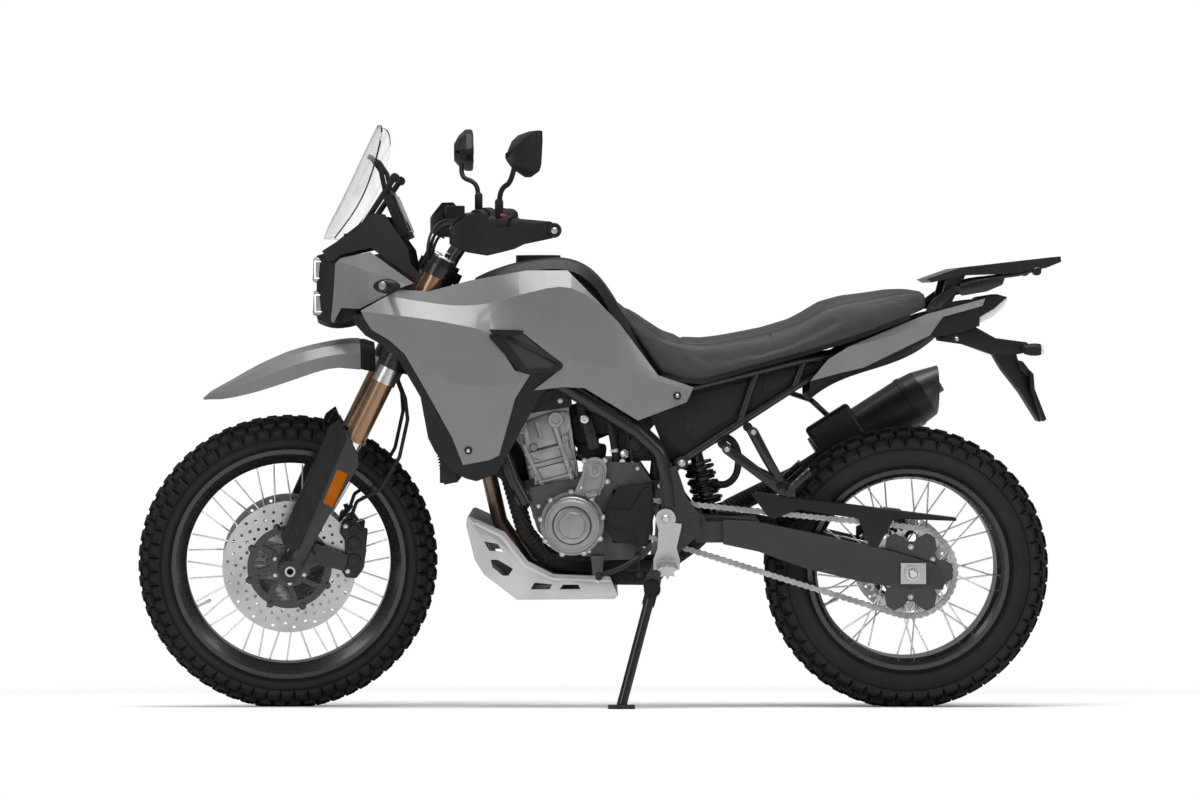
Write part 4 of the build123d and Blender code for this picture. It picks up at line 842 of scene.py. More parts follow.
@dataclass
class Fasteners:
    """Bolts of one carrier and finish, set as one piece."""

    name: str
    finish: Finish = BOLT_STEEL
    head: Head = Head.SOCKET
    carrier: Carrier = Carrier.CHASSIS
    washer: float = 0.14

    def model(self) -> Piece:
        """One fastener of radius 1 on the origin, pointing up +Z.

        Returns:
            The modelled head.
        """
        sides, tall = self.head.value
        bpy.ops.mesh.primitive_cylinder_add(vertices=sides, radius=0.78, depth=tall,
                                            location=(0, 0, self.washer + tall / 2))
        piece = fresh()
        bpy.ops.object.transform_apply(location=True)
        bpy.ops.object.mode_set(mode="EDIT")
        pick_top(piece)
        bpy.ops.mesh.bevel(offset=0.12, segments=1, affect="EDGES")
        bpy.ops.mesh.inset(thickness=0.22)
        push((0, 0, -0.3))
        bpy.ops.object.mode_set(mode="OBJECT")
        steps = [(0.0, 1.0), (self.washer, 1.0), (self.washer + 0.02, 0.9)]
        return join([piece, turned(steps, ORIGIN, UP, 16)])

    def build(self, spots: Sequence[tuple[Point, float]], way: Point = LEFT,
              both: bool = False) -> Piece:
        """Set a fastener at every spot.

        Args:
            spots: place and radius of each, and its direction if not way.
            way: the direction in which they point.
            both: whether each has a mirror image.

        Returns:
            The joined fasteners.
        """
        places = []
        for place, radius, *own in spots:
            for side in (1, -1) if both else (1,):
                where, out = Vector(place), Vector(own[0] if own else way)
                where.y *= side
                out.y *= side
                places.append(facing(where, out) @ Matrix.Scale(radius, 4))
        return settle(copies(self.model(), places), self.name, self.finish, self.carrier)


# ------------------------------------------------------------------ tyres
@dataclass
class KnobbyTyre:
    """Dual-sport tyre: carcass of revolution with rows of tapered knobs.

    The rows are angles in degrees from the middle of the crown; a row off the middle
    stands on both sides. The knob is its length and width.
    """

    node: str
    carrier: Carrier
    hub: tuple[float, float]
    rolling: float
    bead: float
    half_bead: float
    half_width: float
    crown: float
    count: int
    knob: tuple[float, float]
    rows: tuple[float, ...]
    depth: float = 9.0
    root: float = 4.0

    def crown_drop(self, angle: float) -> tuple[float, float]:
        """Place on the tread at an angle from the middle of the crown.

        Args:
            angle: degrees from straight out.

        Returns:
            The side offset and the radius under the knobs.
        """
        turn = radians(angle)
        base = self.rolling - self.depth
        return self.crown * sin(turn), base - self.crown * (1 - cos(turn))

    def section(self) -> list[tuple[float, float]]:
        """Outline of the hollow carcass: outside from right to left, then back inside.

        Returns:
            The closed outline (y, r).
        """
        shoulder = max(self.rows) + 14
        edge_y, edge_r = self.crown_drop(shoulder)
        belly_r = self.bead + (edge_r - self.bead) * 0.50
        side_y, side_r = self.half_bead + 1.6, self.bead + 18
        outer = [(self.half_bead - 12, self.bead), (self.half_bead - 1, self.bead),
                 (self.half_bead, self.bead + 12), (self.half_bead + 2.4, self.bead + 15),
                 (side_y, side_r)]
        for part in [i / 7 for i in range(1, 8)]:
            outer.append((side_y + (self.half_width - side_y) * sin(pi * (0.18 + 0.5 * part)),
                          side_r + (belly_r + 16 - side_r) * part))
        outer += [self.crown_drop(shoulder * (1 - i / 4)) for i in range(5)]
        inner = [(0.0, self.rolling - self.depth - 14), (edge_y - 10, edge_r - 10),
                 (self.half_width - 9, belly_r), (self.half_bead - 10, self.bead + 16)]
        left = [(-y, r) for y, r in outer[-2::-1]] + [(-y, r) for y, r in inner[:0:-1]]
        return outer + left + inner

    def carcass(self) -> Piece:
        """Spin the section round the axle.

        Returns:
            The carcass about the origin.
        """
        outline = self.section()
        bpy.ops.mesh.primitive_circle_add(vertices=len(outline), radius=1, fill_type="NOTHING")
        piece = fresh()
        set_corners(piece.data.vertices, [(0, y, r) for y, r in outline])
        edit_all()
        bpy.ops.mesh.spin(steps=96, angle=tau, center=ORIGIN, axis=RIGHT)
        bpy.ops.mesh.select_all(action="SELECT")
        bpy.ops.mesh.remove_doubles(threshold=0.01)
        close_outwards()
        return piece

    def block(self) -> Piece:
        """One tread block standing on z = 0, with a cut in its top.

        Returns:
            The modelled block.
        """
        long, wide = self.knob
        bpy.ops.mesh.primitive_cube_add(size=1)
        piece = fresh()
        piece.data.transform(Matrix.Translation((0, 0, 0.5)))
        edit_all()
        bpy.ops.transform.resize(value=(long, wide, self.depth + self.root), center_override=ORIGIN)
        bpy.ops.transform.translate(value=(0, 0, -self.root))
        pick_top(piece)
        bpy.ops.transform.resize(value=(0.92, 0.93, 1), center_override=(0, 0, self.depth))
        bpy.ops.mesh.bevel(offset=0.8, segments=1, affect="EDGES")
        bpy.ops.mesh.inset(thickness=long * 0.2, depth=-0.5)
        bpy.ops.object.mode_set(mode="OBJECT")
        return piece

    def build(self) -> Piece:
        """Model the tyre and put it in place of the plain one.

        Returns:
            The tyre.
        """
        places = []
        for row, angle in enumerate(self.rows):
            y, r = self.crown_drop(angle)
            for side in (1, -1) if angle > 1 else (1,):
                tilt = Matrix.Rotation(-radians(angle) * side, 4, "X")
                stand = Matrix.Translation((0, y * side, r)) @ tilt
                offset = 0.5 * (row % 2) + (0.25 if side < 0 else 0.0)
                places += [Matrix.Rotation(tau * (i + offset) / self.count, 4, "Y") @ stand
                           for i in range(self.count)]
        knobs = copies(self.block(), places)
        piece = join([self.carcass(), knobs])
        piece.data.transform(Matrix.Translation((self.hub[0], 0, self.hub[1])))
        settle(piece, self.node + "_tread", TREAD, self.carrier, 22)
        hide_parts(self.node)
        return piece


# ------------------------------------------------------------------ drive chain
@dataclass
class RollerChain:
    """Roller chain: shaped side plates, rollers and pins on the pitch line.

    front and rear are the sprockets' (x, z) and pitch radius.
    """

    pitch: float = 15.875
    side: float = -97.0
    front: tuple[float, float, float] = (96.0, 476.0, 40.5)
    rear: tuple[float, float, float] = (750.0, 340.0, 107.0)

    def line(self) -> list[Vector]:
        """Even steps round both sprockets.

        Returns:
            The place of each pin.
        """
        (fx, fz, fr), (rx, rz, rr) = self.front, self.rear
        base = atan2(rz - fz, rx - fx)
        gap = hypot(rx - fx, rz - fz)
        tilt = acos((fr - rr) / gap)
        up, low = base + tilt, base - tilt
        run = sqrt(gap ** 2 - (rr - fr) ** 2)
        rear_arc = rr * (up - low)
        total = 2 * run + rear_arc + fr * (tau - (up - low))
        count = 2 * round(total / self.pitch / 2)

        def rim(sprocket: tuple[float, float, float], turn: float) -> Vector:
            """Point of a sprocket's pitch circle."""
            x, z, radius = sprocket
            return Vector((x + radius * cos(turn), self.side, z + radius * sin(turn)))

        spots = []
        for s in [total * i / count for i in range(count)]:
            if s < run:
                spots.append(rim(self.front, up).lerp(rim(self.rear, up), s / run))
            elif s < run + rear_arc:
                spots.append(rim(self.rear, up - (s - run) / rr))
            elif s < 2 * run + rear_arc:
                part = (s - run - rear_arc) / run
                spots.append(rim(self.rear, low).lerp(rim(self.front, low), part))
            else:
                spots.append(rim(self.front, low - (s - 2 * run - rear_arc) / fr))
        return spots

    def link_plate(self, offset: float, height: float) -> Piece:
        """Waisted side plate from one pin to the next, lying along +X.

        Args:
            offset: inner face of the plate beside the middle plane.
            height: half its height at the pins.

        Returns:
            The plate with its mirror twin.
        """
        outline = []
        for middle, first in ((0.0, 60), (self.pitch, -120)):
            turns = [radians(first + 30 * i) for i in range(9)]
            outline += [(middle + height * cos(a), height * sin(a)) for a in turns]
            outline.append((self.pitch / 2, height * (0.66 if middle else -0.66)))
        return mirrored(plate(outline, offset, offset + 1.9))

    def build(self) -> None:
        """Lay the links round both sprockets in place of the plain chain."""
        pins = self.line()
        outer, inner, rollers = [], [], []
        for i, pin in enumerate(pins):
            ahead = pins[(i + 1) % len(pins)]
            heading = atan2(ahead.z - pin.z, ahead.x - pin.x)
            place = Matrix.Translation(pin) @ Matrix.Rotation(-heading, 4, "Y")
            (outer if i % 2 else inner).append(place)
            rollers.append(Matrix.Translation(pin))
        sheets = [copies(self.link_plate(6.0, 7.2), outer),
                  copies(self.link_plate(3.9, 7.4), inner)]
        rod = turned([(-9.6, 2.2), (-9.0, 2.7), (9.0, 2.7), (9.6, 2.2)], ORIGIN, RIGHT, 10)
        roller = turned([(-3.9, 5.0), (3.9, 5.0)], ORIGIN, RIGHT, 12)
        piece = join(sheets + [copies(join([rod, roller]), rollers)])
        settle(piece, "roller_chain", CHAIN_STEEL)
        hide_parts("drive_chain")


# ------------------------------------------------------------------ saddle and its panels
@dataclass
class Saddle:
    """Two-level padded saddle under one cover, with its welts and base board.

    Each station is x, top, lower edge and half width. cell is the size of its remesh,
    inset how far the foam starts inside the cover, and rise the most that it swells.
    """

    stations: Stations = (
        (44, 994, 962, 84), (72, 972, 928, 92), (107, 946, 880, 102), (153, 916, 812, 114),
        (200, 900, 802, 128), (251, 897, 799, 142), (300, 903, 813, 151), (349, 912, 827, 157),
        (400, 922, 841, 160), (466, 942, 859, 161), (500, 960, 868, 159), (539, 984, 880, 157),
        (590, 998, 895, 154), (640, 1004, 912, 150), (700, 1013, 935, 142),
        (744, 1018, 952, 132), (784, 1014, 968, 110))
    cell: float = 6.4
    inset: float = 4.0
    rise: float = 6.0
    held: float = 16.0
    ends: tuple[float, float] = (60.0, 780.0)
    frames: int = 20

    def ring(self, top: float, low: float, half: float) -> list[tuple[float, float]]:
        """Outline of one station.

        Args:
            top: its height.
            low: height of its lower edge.
            half: its half width.

        Returns:
            The closed outline (y, z).
        """
        h = top - low
        right = [(0, top + 2), (0.28, top + 1), (0.52, top - 2), (0.72, top - 0.07 * h),
                 (0.84, top - 0.15 * h), (0.92, top - 0.30 * h), (0.975, top - 0.55 * h),
                 (1.0, low + 0.22 * h), (0.985, low + 0.06 * h), (0.93, low), (0.45, low)]
        points = [(half * y, z) for y, z in right] + [(0, low)]
        return points + [(-y, z) for y, z in points[-2:0:-1]]

    def build(self) -> Piece:
        """Model the cushion, let the padding swell and put it in the seat's place.

        Returns:
            The cushion.
        """
        shrink = self.inset
        piece = lofted([[(x, y, z) for y, z in self.ring(top - shrink, low + shrink * 0.4,
                                                         half - shrink)]
                        for x, top, low, half in self.stations])
        edit_all()
        bpy.ops.mesh.subdivide(number_cuts=1)
        bpy.ops.object.mode_set(mode="OBJECT")
        modify(piece, "REMESH", mode="VOXEL", voxel_size=self.cell)
        modify(piece, "SMOOTH", iterations=6)
        piece.matrix_world = POSE.fixed()
        bpy.ops.object.transform_apply(location=True, rotation=True, scale=True)
        self.swell(piece)
        modify(piece, "SUBSURF", levels=1)
        piece.data.materials.clear()
        piece.data.materials.append(SADDLE.material())
        piece.name = "saddle_cushion"
        bpy.ops.object.shade_smooth()
        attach(piece, Carrier.CHASSIS.value)
        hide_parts("seat")
        return piece

    def swell(self, piece: Piece) -> None:
        """Let light pressure fill the cover; the base board holds the lower edge.

        Args:
            piece: cushion in parked metres.
        """
        back = POSE.fixed().inverted()
        held = piece.vertex_groups.new(name="board")
        rest = [v.co.copy() for v in piece.data.vertices]
        fixed = []
        for vertex in piece.data.vertices:
            place = back @ vertex.co
            inside = self.ends[0] <= place.x <= self.ends[1]
            if not inside or place.z < self.floor_at(place.x) + self.held:
                fixed.append(vertex.index)
        held.add(fixed, 1.0, "REPLACE")
        cloth = piece.modifiers.new("padding", "CLOTH")
        for key, value in (("quality", 4), ("mass", 0.2), ("tension_stiffness", 12),
                           ("compression_stiffness", 12), ("bending_stiffness", 2.0),
                           ("use_pressure", True), ("uniform_pressure_force", 4.0),
                           ("vertex_group_mass", "board")):
            setattr(cloth.settings, key, value)
        cloth.settings.effector_weights.gravity = 0.0
        cloth.collision_settings.use_collision = False
        cloth.point_cache.frame_start = 1
        cloth.point_cache.frame_end = self.frames
        scene = bpy.context.scene
        for step in range(1, self.frames + 1):
            scene.frame_set(step)
        bpy.context.view_layer.objects.active = piece
        bpy.ops.object.modifier_apply(modifier=cloth.name)
        for vertex, start in zip(piece.data.vertices, rest):
            shift = vertex.co - start
            if shift.length > self.rise * MM:
                vertex.co = start + shift.normalized() * self.rise * MM
        scene.frame_set(1)

    def floor_at(self, x: float) -> float:
        """Height of the lower edge.

        Args:
            x: place along the machine.

        Returns:
            The height.
        """
        for (x0, _, z0, _), (x1, _, z1, _) in zip(self.stations, self.stations[1:]):
            if x <= x1:
                return z0 + (z1 - z0) * max(0.0, (x - x0) / (x1 - x0))
        return self.stations[-1][2]

    def seam(self) -> None:
        """Welts where the side cover meets the top, and across the step of the saddle."""
        cords = [pipe([(x, side * half * 0.845, top - 0.15 * (top - low) + 1.5)
                       for x, top, low, half in self.stations[1:-1]], 1.1)
                 for side in (1, -1)]
        parts = [-1 + step / 4 for step in range(9)]
        cords.append(pipe([(404 + 8 * abs(part), part * 135,
                            910 + 14.5 * (1 - abs(part) ** 2.2)) for part in parts], 1.1))
        settle(join(cords), "saddle_welt", SADDLE_SEAM)

    def base(self) -> None:
        """Black base board under the cushion."""
        rings = [[(x, half * share, low + drop) for share, drop in (
            (0.90, 6), (0.92, -7), (0, -9), (-0.92, -7), (-0.90, 6), (0, 8))]
            for x, _, low, half in self.stations[3:-1]]
        settle(lofted(rings), "saddle_base", BLACK_MOULDED)


@dataclass
class InnerPanels:
    """Dark panels behind the rear frame's rails, with their screws."""

    outline: Outline = (
        (96, 756), (150, 776), (239, 792), (483, 853), (600, 874), (640, 872), (478, 793),
        (340, 703), (206, 614), (176, 606), (158, 640), (134, 700))
    ridge: Outline = (
        (176, 752), (239, 768), (380, 803), (366, 762), (330, 712), (236, 652), (206, 668),
        (214, 716))
    side: float = 82.0

    def build(self) -> None:
        """Make both panels with their raised fields and screws."""
        base = plate(self.outline, -self.side, -self.side - 3, 0.6)
        field = plate(self.ridge, -self.side - 2, -self.side - 6, 2.4)
        tail = plate(((398, 808), (470, 828), (560, 850), (586, 862), (500, 822), (420, 776),
                      (396, 768)), -self.side - 2, -self.side - 5, 1.6)
        settle(mirrored(join([base, field, tail])), "inner_side_panels", BLACK_MOULDED)
        screws = [((x, -self.side - 6, z), 5.0)
                  for x, z in ((190, 753), (352, 792), (226, 676), (560, 855))]
        Fasteners("inner_panel_screws", SATIN_BLACK, Head.BUTTON).build(screws, both=True)


# ------------------------------------------------------------------ engine dressing
@dataclass
class EngineDressing:
    """Cover faces, bolts, cylinder ribs, radiator fins, coil, hoses and wrap of the engine."""

    stator: tuple[float, float] = (-60.0, 459.0)
    clutch: tuple[float, float] = (-40.0, 470.0)
    cover_y: float = -168.0

    def cover_ring(self) -> None:
        """Raised rings and ribs of the round cover."""
        x, z = self.stator
        middle = (x, self.cover_y, z)
        made = [turned([(0, 65.5), (2.6, 64.5), (2.6, 49.5), (0, 48)], middle, LEFT, 64),
                turned([(0, 43.6), (2.4, 42.8), (3.4, 40.5), (3.4, 36), (2.2, 34.5), (2.2, 20),
                        (2.8, 19), (2.8, 16), (2.2, 15), (2.2, 1)], middle, LEFT, 64)]
        for turn in (78, 132, 190, 248, 318):
            spot = (x + 57 * cos(radians(turn)), self.cover_y - 2.2, z + 57 * sin(radians(turn)))
            made.append(padded_box((20, 3.0, 3.2), spot, 0.8, (0, -turn, 0)))
        settle(join(made), "generator_cover_face", COVER_ALLOY)

    def bolts(self) -> None:
        """Set the cover, pump, cylinder and head bolts."""
        groups = ((-126, 5.4, circle(self.stator, 75, 9, 12)),
                  (-124, 4.8, ((-38, 545), (-30, 609), (18, 610), (24, 560))),
                  (-106, 6.0, ((-184, 734), (-88, 752))),
                  (-108, 5.0, ((-120, 414), (-140, 500), (-20, 392), (96, 590), (112, 404))))
        Fasteners("engine_bolts_left").build(
            [((x, y, z), radius) for y, radius, spots in groups for x, z in spots])
        Fasteners("engine_bolts_right").build(
            [((x, 160, z), 5.4) for x, z in circle(self.clutch, 80, 10, 8)], RIGHT)

    def cam_cover(self) -> None:
        """Black cover over the camshaft with a rib on top."""
        lid = plate(((-199, 785), (-92, 808), (-66, 800), (-64, 812), (-88, 826), (-182, 812),
                     (-206, 800)), -82, 90, 4.0)
        rib = plate(((-176, 812), (-98, 828), (-100, 836), (-174, 822)), -50, 60, 2.0)
        settle(join([lid, rib]), "cam_cover", SATIN_BLACK)

    def cylinder(self) -> None:
        """Cast left face of cylinder and head with its ribs, flanges and bosses."""
        made = [plate(((-194, 686), (-180, 697), (-124, 719), (-68, 726), (-62, 692), (-73, 668),
                       (-51, 593), (-56, 556), (-118, 524), (-130, 533), (-168, 626), (-201, 664)),
                      -80, -93, 3.5)]
        for start, stop, radius in (((-177, -92, 646), (-124, -92, 532), 8.0),
                                    ((-101, -92, 688), (-58, -92, 560), 8.0),
                                    ((-146, -92, 700), (-136, -92, 664), 5.0)):
            made.append(pipe((start, stop), radius))
        for x, z, length in ((-124, 634, 104), (-116, 606, 106), (-100, 566, 84)):
            made.append(padded_box((length, 12, 7), (x, -93, z), 2.0, (0, -14.5, 0)))
        for x, z, radius in ((-99, 706, 19), (-181, 684, 14), (-152, 640, 9), (-76, 662, 9),
                             (-146, 566, 8), (-66, 588, 8)):
            made.append(turned([(0, radius), (11, radius), (13, radius - 1.5), (13, 0.55 * radius),
                                (10, 0.5 * radius), (10, 1)], (x, -88, z), LEFT, 28))
        settle(join(made), "cylinder_face", CAST_ALLOY)
        lines = [pipe(((-176, -94, 627), (-76, -94, 652.5)), 1.3),
                 pipe(((-166, -94, 584), (-56, -94, 612)), 1.1)]
        settle(join(lines), "cylinder_joints", SATIN_BLACK)

    def pump_cover(self) -> None:
        """Raised edge, boss and plug of the cover behind the cylinder."""
        x, z = -6, 584
        face = on_skin("engine_covers", x, z)[0].y
        made = [pipe(((-34, face, 528), (-26, face, 584), (-10, face, 604), (10, face, 600),
                      (18, face, 578), (8, face, 544), (4, face, 528)), 2.2),
                turned([(0, 13), (4, 13), (5, 11), (5, 7), (3, 6), (3, 1)], (x, face + 1, z),
                       LEFT, 28),
                padded_box((30, 9, 14), (x - 8, face, 530), 3.0, (0, -20, 0))]
        settle(join(made), "pump_cover_details", COVER_ALLOY)

    def radiator_fins(self) -> None:
        """Horizontal cooling fins over the front of the radiator."""
        made = [padded_box((5, 306, 2.4), (-365 - 0.176 * (z - 556), 0, z), 0.8, (0, 10, 0))
                for z in range(572, 786, 7)]
        settle(join(made), "radiator_fins", RUBBER)

    def coil(self) -> None:
        """Ignition coil with its lead behind the head, and its mount."""
        body = padded_box((30, 26, 82), (-16, -92, 672), 7.0, (0, -14, 0))
        cap = padded_box((22, 18, 30), (-24, -95, 700), 5.0, (0, -14, 0))
        eye = turned([(0, 10), (5, 10), (6, 8.5), (6, 5.5), (3, 5), (3, 1)], (-30, -104, 708),
                     LEFT, 20)
        foot = turned([(0, 7.5), (4, 7.5), (5, 6), (5, 1)], (-16, -105, 672), LEFT, 20)
        lead = pipe(((-10, -90, 634), (-4, -86, 612), (-34, -82, 606), (-62, -80, 640)), 3.4)
        settle(join([body, cap, foot, lead]), "ignition_coil", SATIN_BLACK)
        settle(eye, "coil_mount_eye", BOLT_STEEL)

    def hoses(self) -> None:
        """Water and breather hoses with clips between engine and air box."""
        hose = pipe(((-58, -60, 770), (-10, -86, 768), (26, -92, 716), (42, -90, 640),
                     (46, -92, 584), (44, -96, 548)), 8.6)
        thin = pipe(((64, -78, 700), (82, -92, 640), (84, -98, 590), (60, -100, 560)), 4.4)
        bulb = turned([(0, 6), (2, 15), (6, 18), (20, 18), (24, 15), (26, 6)], (92, -72, 646),
                      LEFT, 28)
        settle(join([hose, thin, bulb]), "engine_hoses", RUBBER)
        clips = []
        for place, way in (((43, -90.5, 632), (0.06, 0, -1)), ((46, -92, 586), (0.04, 0, -1)),
                           ((84, -96, 602), (0, -0.1, -1))):
            radius = 9.4 if place[0] < 80 else 5.2
            clips.append(turned([(-4, radius), (4, radius)], place, way, 24))
        clips.append(padded_box((9, 7, 7), (36, -100, 632), 1.2))
        clips.append(turned([(0, 9), (10, 9), (12, 7), (12, 1)], (60, -96, 606), LEFT, 6))
        clips.append(turned([(0, 12), (6, 12), (7, 9), (14, 9), (15, 7), (15, 1)], (66, -82, 622),
                            (-0.3, -1, 0.2), 6))
        settle(join(clips), "hose_clips", BOLT_STEEL)

    def bay(self) -> None:
        """Dark throttle body, wiring and mounts that fill the bay round the engine."""
        made = [padded_box((64, 96, 60), (-20, 0, 730), 10.0, (0, 12, 0)),
                padded_box((60, 90, 104), (-34, 0, 690), 9.0, (0, -12, 0)),
                padded_box((70, 110, 44), (-14, 0, 622), 8.0, (0, 8, 0)),
                turned([(-48, 30), (-44, 34), (44, 34), (48, 30)], (2, 0, 690), (1, 0, 0.4), 28),
                padded_box((60, 120, 40), (72, 0, 622), 8.0),
                padded_box((44, 140, 120), (150, 0, 560), 8.0, (0, 6, 0)),
                padded_box((36, 150, 60), (112, 0, 690), 8.0, (0, 40, 0)),
                padded_box((30, 60, 130), (-190, 0, 620), 8.0, (0, -10, 0)),
                padded_box((40, 150, 34), (-176, 0, 514), 6.0, (0, 30, 0)),
                padded_box((26, 12, 84), (-152, -84, 600), 4.0, (0, -10, 0)),
                padded_box((90, 10, 26), (-214, -70, 566), 4.0, (0, 34, 0)),
                padded_box((170, 150, 26), (-60, 0, 372), 6.0),
                padded_box((150, 120, 30), (70, 0, 352), 6.0)]
        for index in range(5):
            y = -84 + 6 * index
            made.append(pipe(((-70, y, 790 - 8 * index), (10, y - 6, 786), (60, y, 720),
                              (96, y, 668 - 6 * index), (128, y + 10, 610)), 3.2))
        for y in (-92, -80):
            made.append(pipe(((-216, y, 700), (-230, y, 640), (-196, y, 560), (-160, y, 520),
                              (-150, y, 470)), 3.6))
        settle(join(made), "engine_bay_fittings", RUBBER)

    def mounts(self) -> None:
        """Engine mount plates on the frame with their nuts."""
        front = plate(((-176, 560), (-150, 566), (-150, 524), (-190, 500), (-200, 520)),
                      -96, -102, 1.4)
        rear = plate(((128, 560), (168, 566), (172, 500), (132, 500)), -96, -102, 1.4)
        settle(mirrored(join([front, rear])), "engine_mount_plates", FRAME_PAINT)
        spots = [((-172, -103, 530), 7.0), ((150, -103, 548), 6.0)]
        Fasteners("engine_mount_nuts", head=Head.HEX).build(spots, both=True)

    def wrap(self) -> None:
        """Wound wrap on the front run of the left header pipe, leaving the bend behind it bare."""
        left = (Vector((-246, -54, 668)), Vector((-216, -60, 584)), Vector((-174, -62, 436)),
                Vector((-118, -60, 366)), Vector((-10, -50, 346)))
        coils = []
        for start, stop in zip(left, left[1:]):
            way = (stop - start).normalized()
            count = max(1, int((stop - start).length / 11))
            for i in range(count):
                place = start + (stop - start) * (i + 0.5) / count
                tilt = (way + Vector((0, 0.22, 0))).normalized()
                coils.append(turned([(-5.2, 19.4), (-2, 21.4), (3, 21.6), (5.2, 19.4)], place,
                                    tilt, 20))
        settle(join(coils), "header_wrap", WRAP)

    def shift_lever(self) -> None:
        """Gear lever's link rod with its two rod ends."""
        rod = pipe(((96, -128, 398), (98, -130, 366), (100, -128, 338)), 3.6)
        ends = [turned([(-5, 8), (5, 8), (6, 6), (6, 1)], place, LEFT, 16)
                for place in ((96, -130, 398), (100, -130, 338))]
        settle(join([rod] + ends), "gear_link_rod", SATIN_BLACK)

    def build(self) -> None:
        """Make all of it."""
        self.cover_ring()
        self.bolts()
        self.cam_cover()
        self.cylinder()
        self.pump_cover()
        self.radiator_fins()
        self.coil()
        self.hoses()
        self.shift_lever()
        self.bay()
        self.mounts()
        self.wrap()


@dataclass
class RearDressing:
    """Fasteners, spring and bright parts behind the engine."""

    def spring(self) -> None:
        """Helical spring round the shock absorber."""
        low, high, across = Vector((276, 0, 478)), Vector((245, 0, 592)), Vector(RIGHT)
        side = (high - low).normalized().cross(across).normalized()
        turns, radius = 6, 34
        points = []
        for part in [i / (turns * 12) for i in range(turns * 12 + 1)]:
            a = tau * turns * part
            points.append(low + (high - low) * part
                          + side * radius * cos(a) + across * radius * sin(a))
        settle(pipe(points, 5.0), "shock_spring", FRAME_PAINT)

    def hose_loop(self) -> None:
        """Looped reservoir hose behind the shock absorber."""
        loop = pipe(((262, -20, 640), (300, -26, 664), (330, -30, 652), (344, -30, 612),
                     (336, -28, 560), (300, -24, 538), (276, -20, 552)), 9.0)
        settle(loop, "reservoir_hose", RUBBER)

    def bolts(self) -> None:
        """Set the frame, footrest, passenger bracket, swingarm and axle fasteners, with the
        footrest rings and pivot cups.
        """
        spots = [((202, -112, 603), 8.5), ((162, -151, 473), 12.0),
                 ((309, -123, 636), 6.5), ((372, -123, 677), 6.5),
                 ((229, -117, 460), 13.0)]
        Fasteners("frame_bolts").build(spots, both=True)
        nuts = [((750, -141, 340), 15.0), ((700, -118, 338), 5.5)]
        ring = turned([(0, 24), (2, 24), (3, 22.5), (3, 18), (1, 17), (1, 1)], (162, -147, 473),
                      LEFT, 40)
        settle(mirrored(ring), "footrest_rings", BRUSHED_PLATE)
        cup = turned([(0, 24), (8, 23), (9, 20), (5, 19), (5, 1)], (229, -112, 460), LEFT, 40)
        settle(mirrored(cup), "swingarm_pivot_cups", FRAME_PAINT)
        Fasteners("axle_nuts", head=Head.HEX).build(nuts, both=True)

    def build(self) -> None:
        """Make all of it."""
        self.spring()
        self.hose_loop()
        self.bolts()


@dataclass
class WheelDressing:
    """Sprocket bolts, and the valves of both tyres."""

    valve_turn: float = 205.0

    def rear(self) -> None:
        """Sprocket bolts."""
        spots = [((x, -101, z), 6.5) for x, z in circle(REAR_HUB, 60, 6, 30)]
        Fasteners("sprocket_bolts", head=Head.HEX, carrier=Carrier.REAR_WHEEL).build(spots)

    def valve(self, name: str, hub: tuple[float, float], radius: float, carrier: Carrier) -> None:
        """Tyre valve standing in the rim.

        Args:
            name: name of the piece.
            hub: wheel centre.
            radius: inner radius of the rim.
            carrier: wheel it rides on.
        """
        inward = Vector((-cos(radians(self.valve_turn)), 0, -sin(radians(self.valve_turn))))
        place = Vector((hub[0], 0, hub[1])) - inward * radius
        piece = turned([(0, 5), (3, 5), (4, 3), (26, 3), (27, 4), (36, 4), (38, 2)], place,
                       inward, 14)
        settle(piece, name, BOLT_STEEL, carrier)

    def build(self) -> None:
        """Make all of it."""
        self.rear()
        self.valve("front_valve", FRONT_HUB, 247, Carrier.FRONT_WHEEL)
        self.valve("rear_valve", REAR_HUB, 219, Carrier.REAR_WHEEL)


# ------------------------------------------------------------------ lamps and cockpit
@dataclass
class FrontLamps:
    """Stacked headlamps with their light frames, and the indicators' lenses."""

    mids: tuple[float, float] = (1065.0, 985.0)

    def headlamp(self) -> None:
        """Two lens blocks wrapping round the nose, with bright frames behind the glass."""
        lenses, bars, frames = [], [], []
        for mid in self.mids:
            lenses.append(padded_box((30, 134, 62), (-667, 0, mid), 9.0, (0, 3, 0)))
            frames.append(padded_box((6, 126, 70), (-655, 0, mid), 3.0, (0, 3, 0)))
            for side in (1, -1):
                bars.append(padded_box((4, 4, 46), (-681, side * 60, mid), 1.4, (0, 3, 0)))
                bars += [padded_box((18, 3, 3), (-668, side * 67, mid + rise), 1.2)
                         for rise in (20, -20)]
                bars.append(padded_box((3, 3, 40), (-675, side * 67, mid), 1.2))
            bars.append(turned([(0, 17), (4, 20), (6, 20), (8, 16), (8, 1)], (-680, 0, mid),
                               AHEAD, 32))
            bars += [padded_box((4, 104, 4), (-682, 0, mid + rise), 1.4) for rise in (-25, 25)]
        lens = settle(join(lenses), "headlamp_lenses", HEADLAMP)
        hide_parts("headlamps")
        settle(join(bars), "headlamp_light_frames", LED_BAR)
        settle(join(frames), "headlamp_bezels", GLOSS_BLACK)

    def indicators(self) -> None:
        """Pale lenses on the front of the black indicator bodies."""
        way = (-0.5, -1, 0.1)
        made = turned([(0, 10.5), (3, 10), (5.5, 7.5), (7, 4), (7.4, 1)], (-495, -274, 1026), way,
                      20)
        settle(mirrored(made), "indicator_lenses", HEADLAMP, angle=15)
        ring = turned([(-3, 14), (2, 14), (3, 12.6), (3, 10.6)], (-494, -274, 1026), way, 28)
        settle(mirrored(ring), "indicator_rims", GLOSS_BLACK)

    def build(self) -> None:
        """Make all of it."""
        self.headlamp()
        self.indicators()


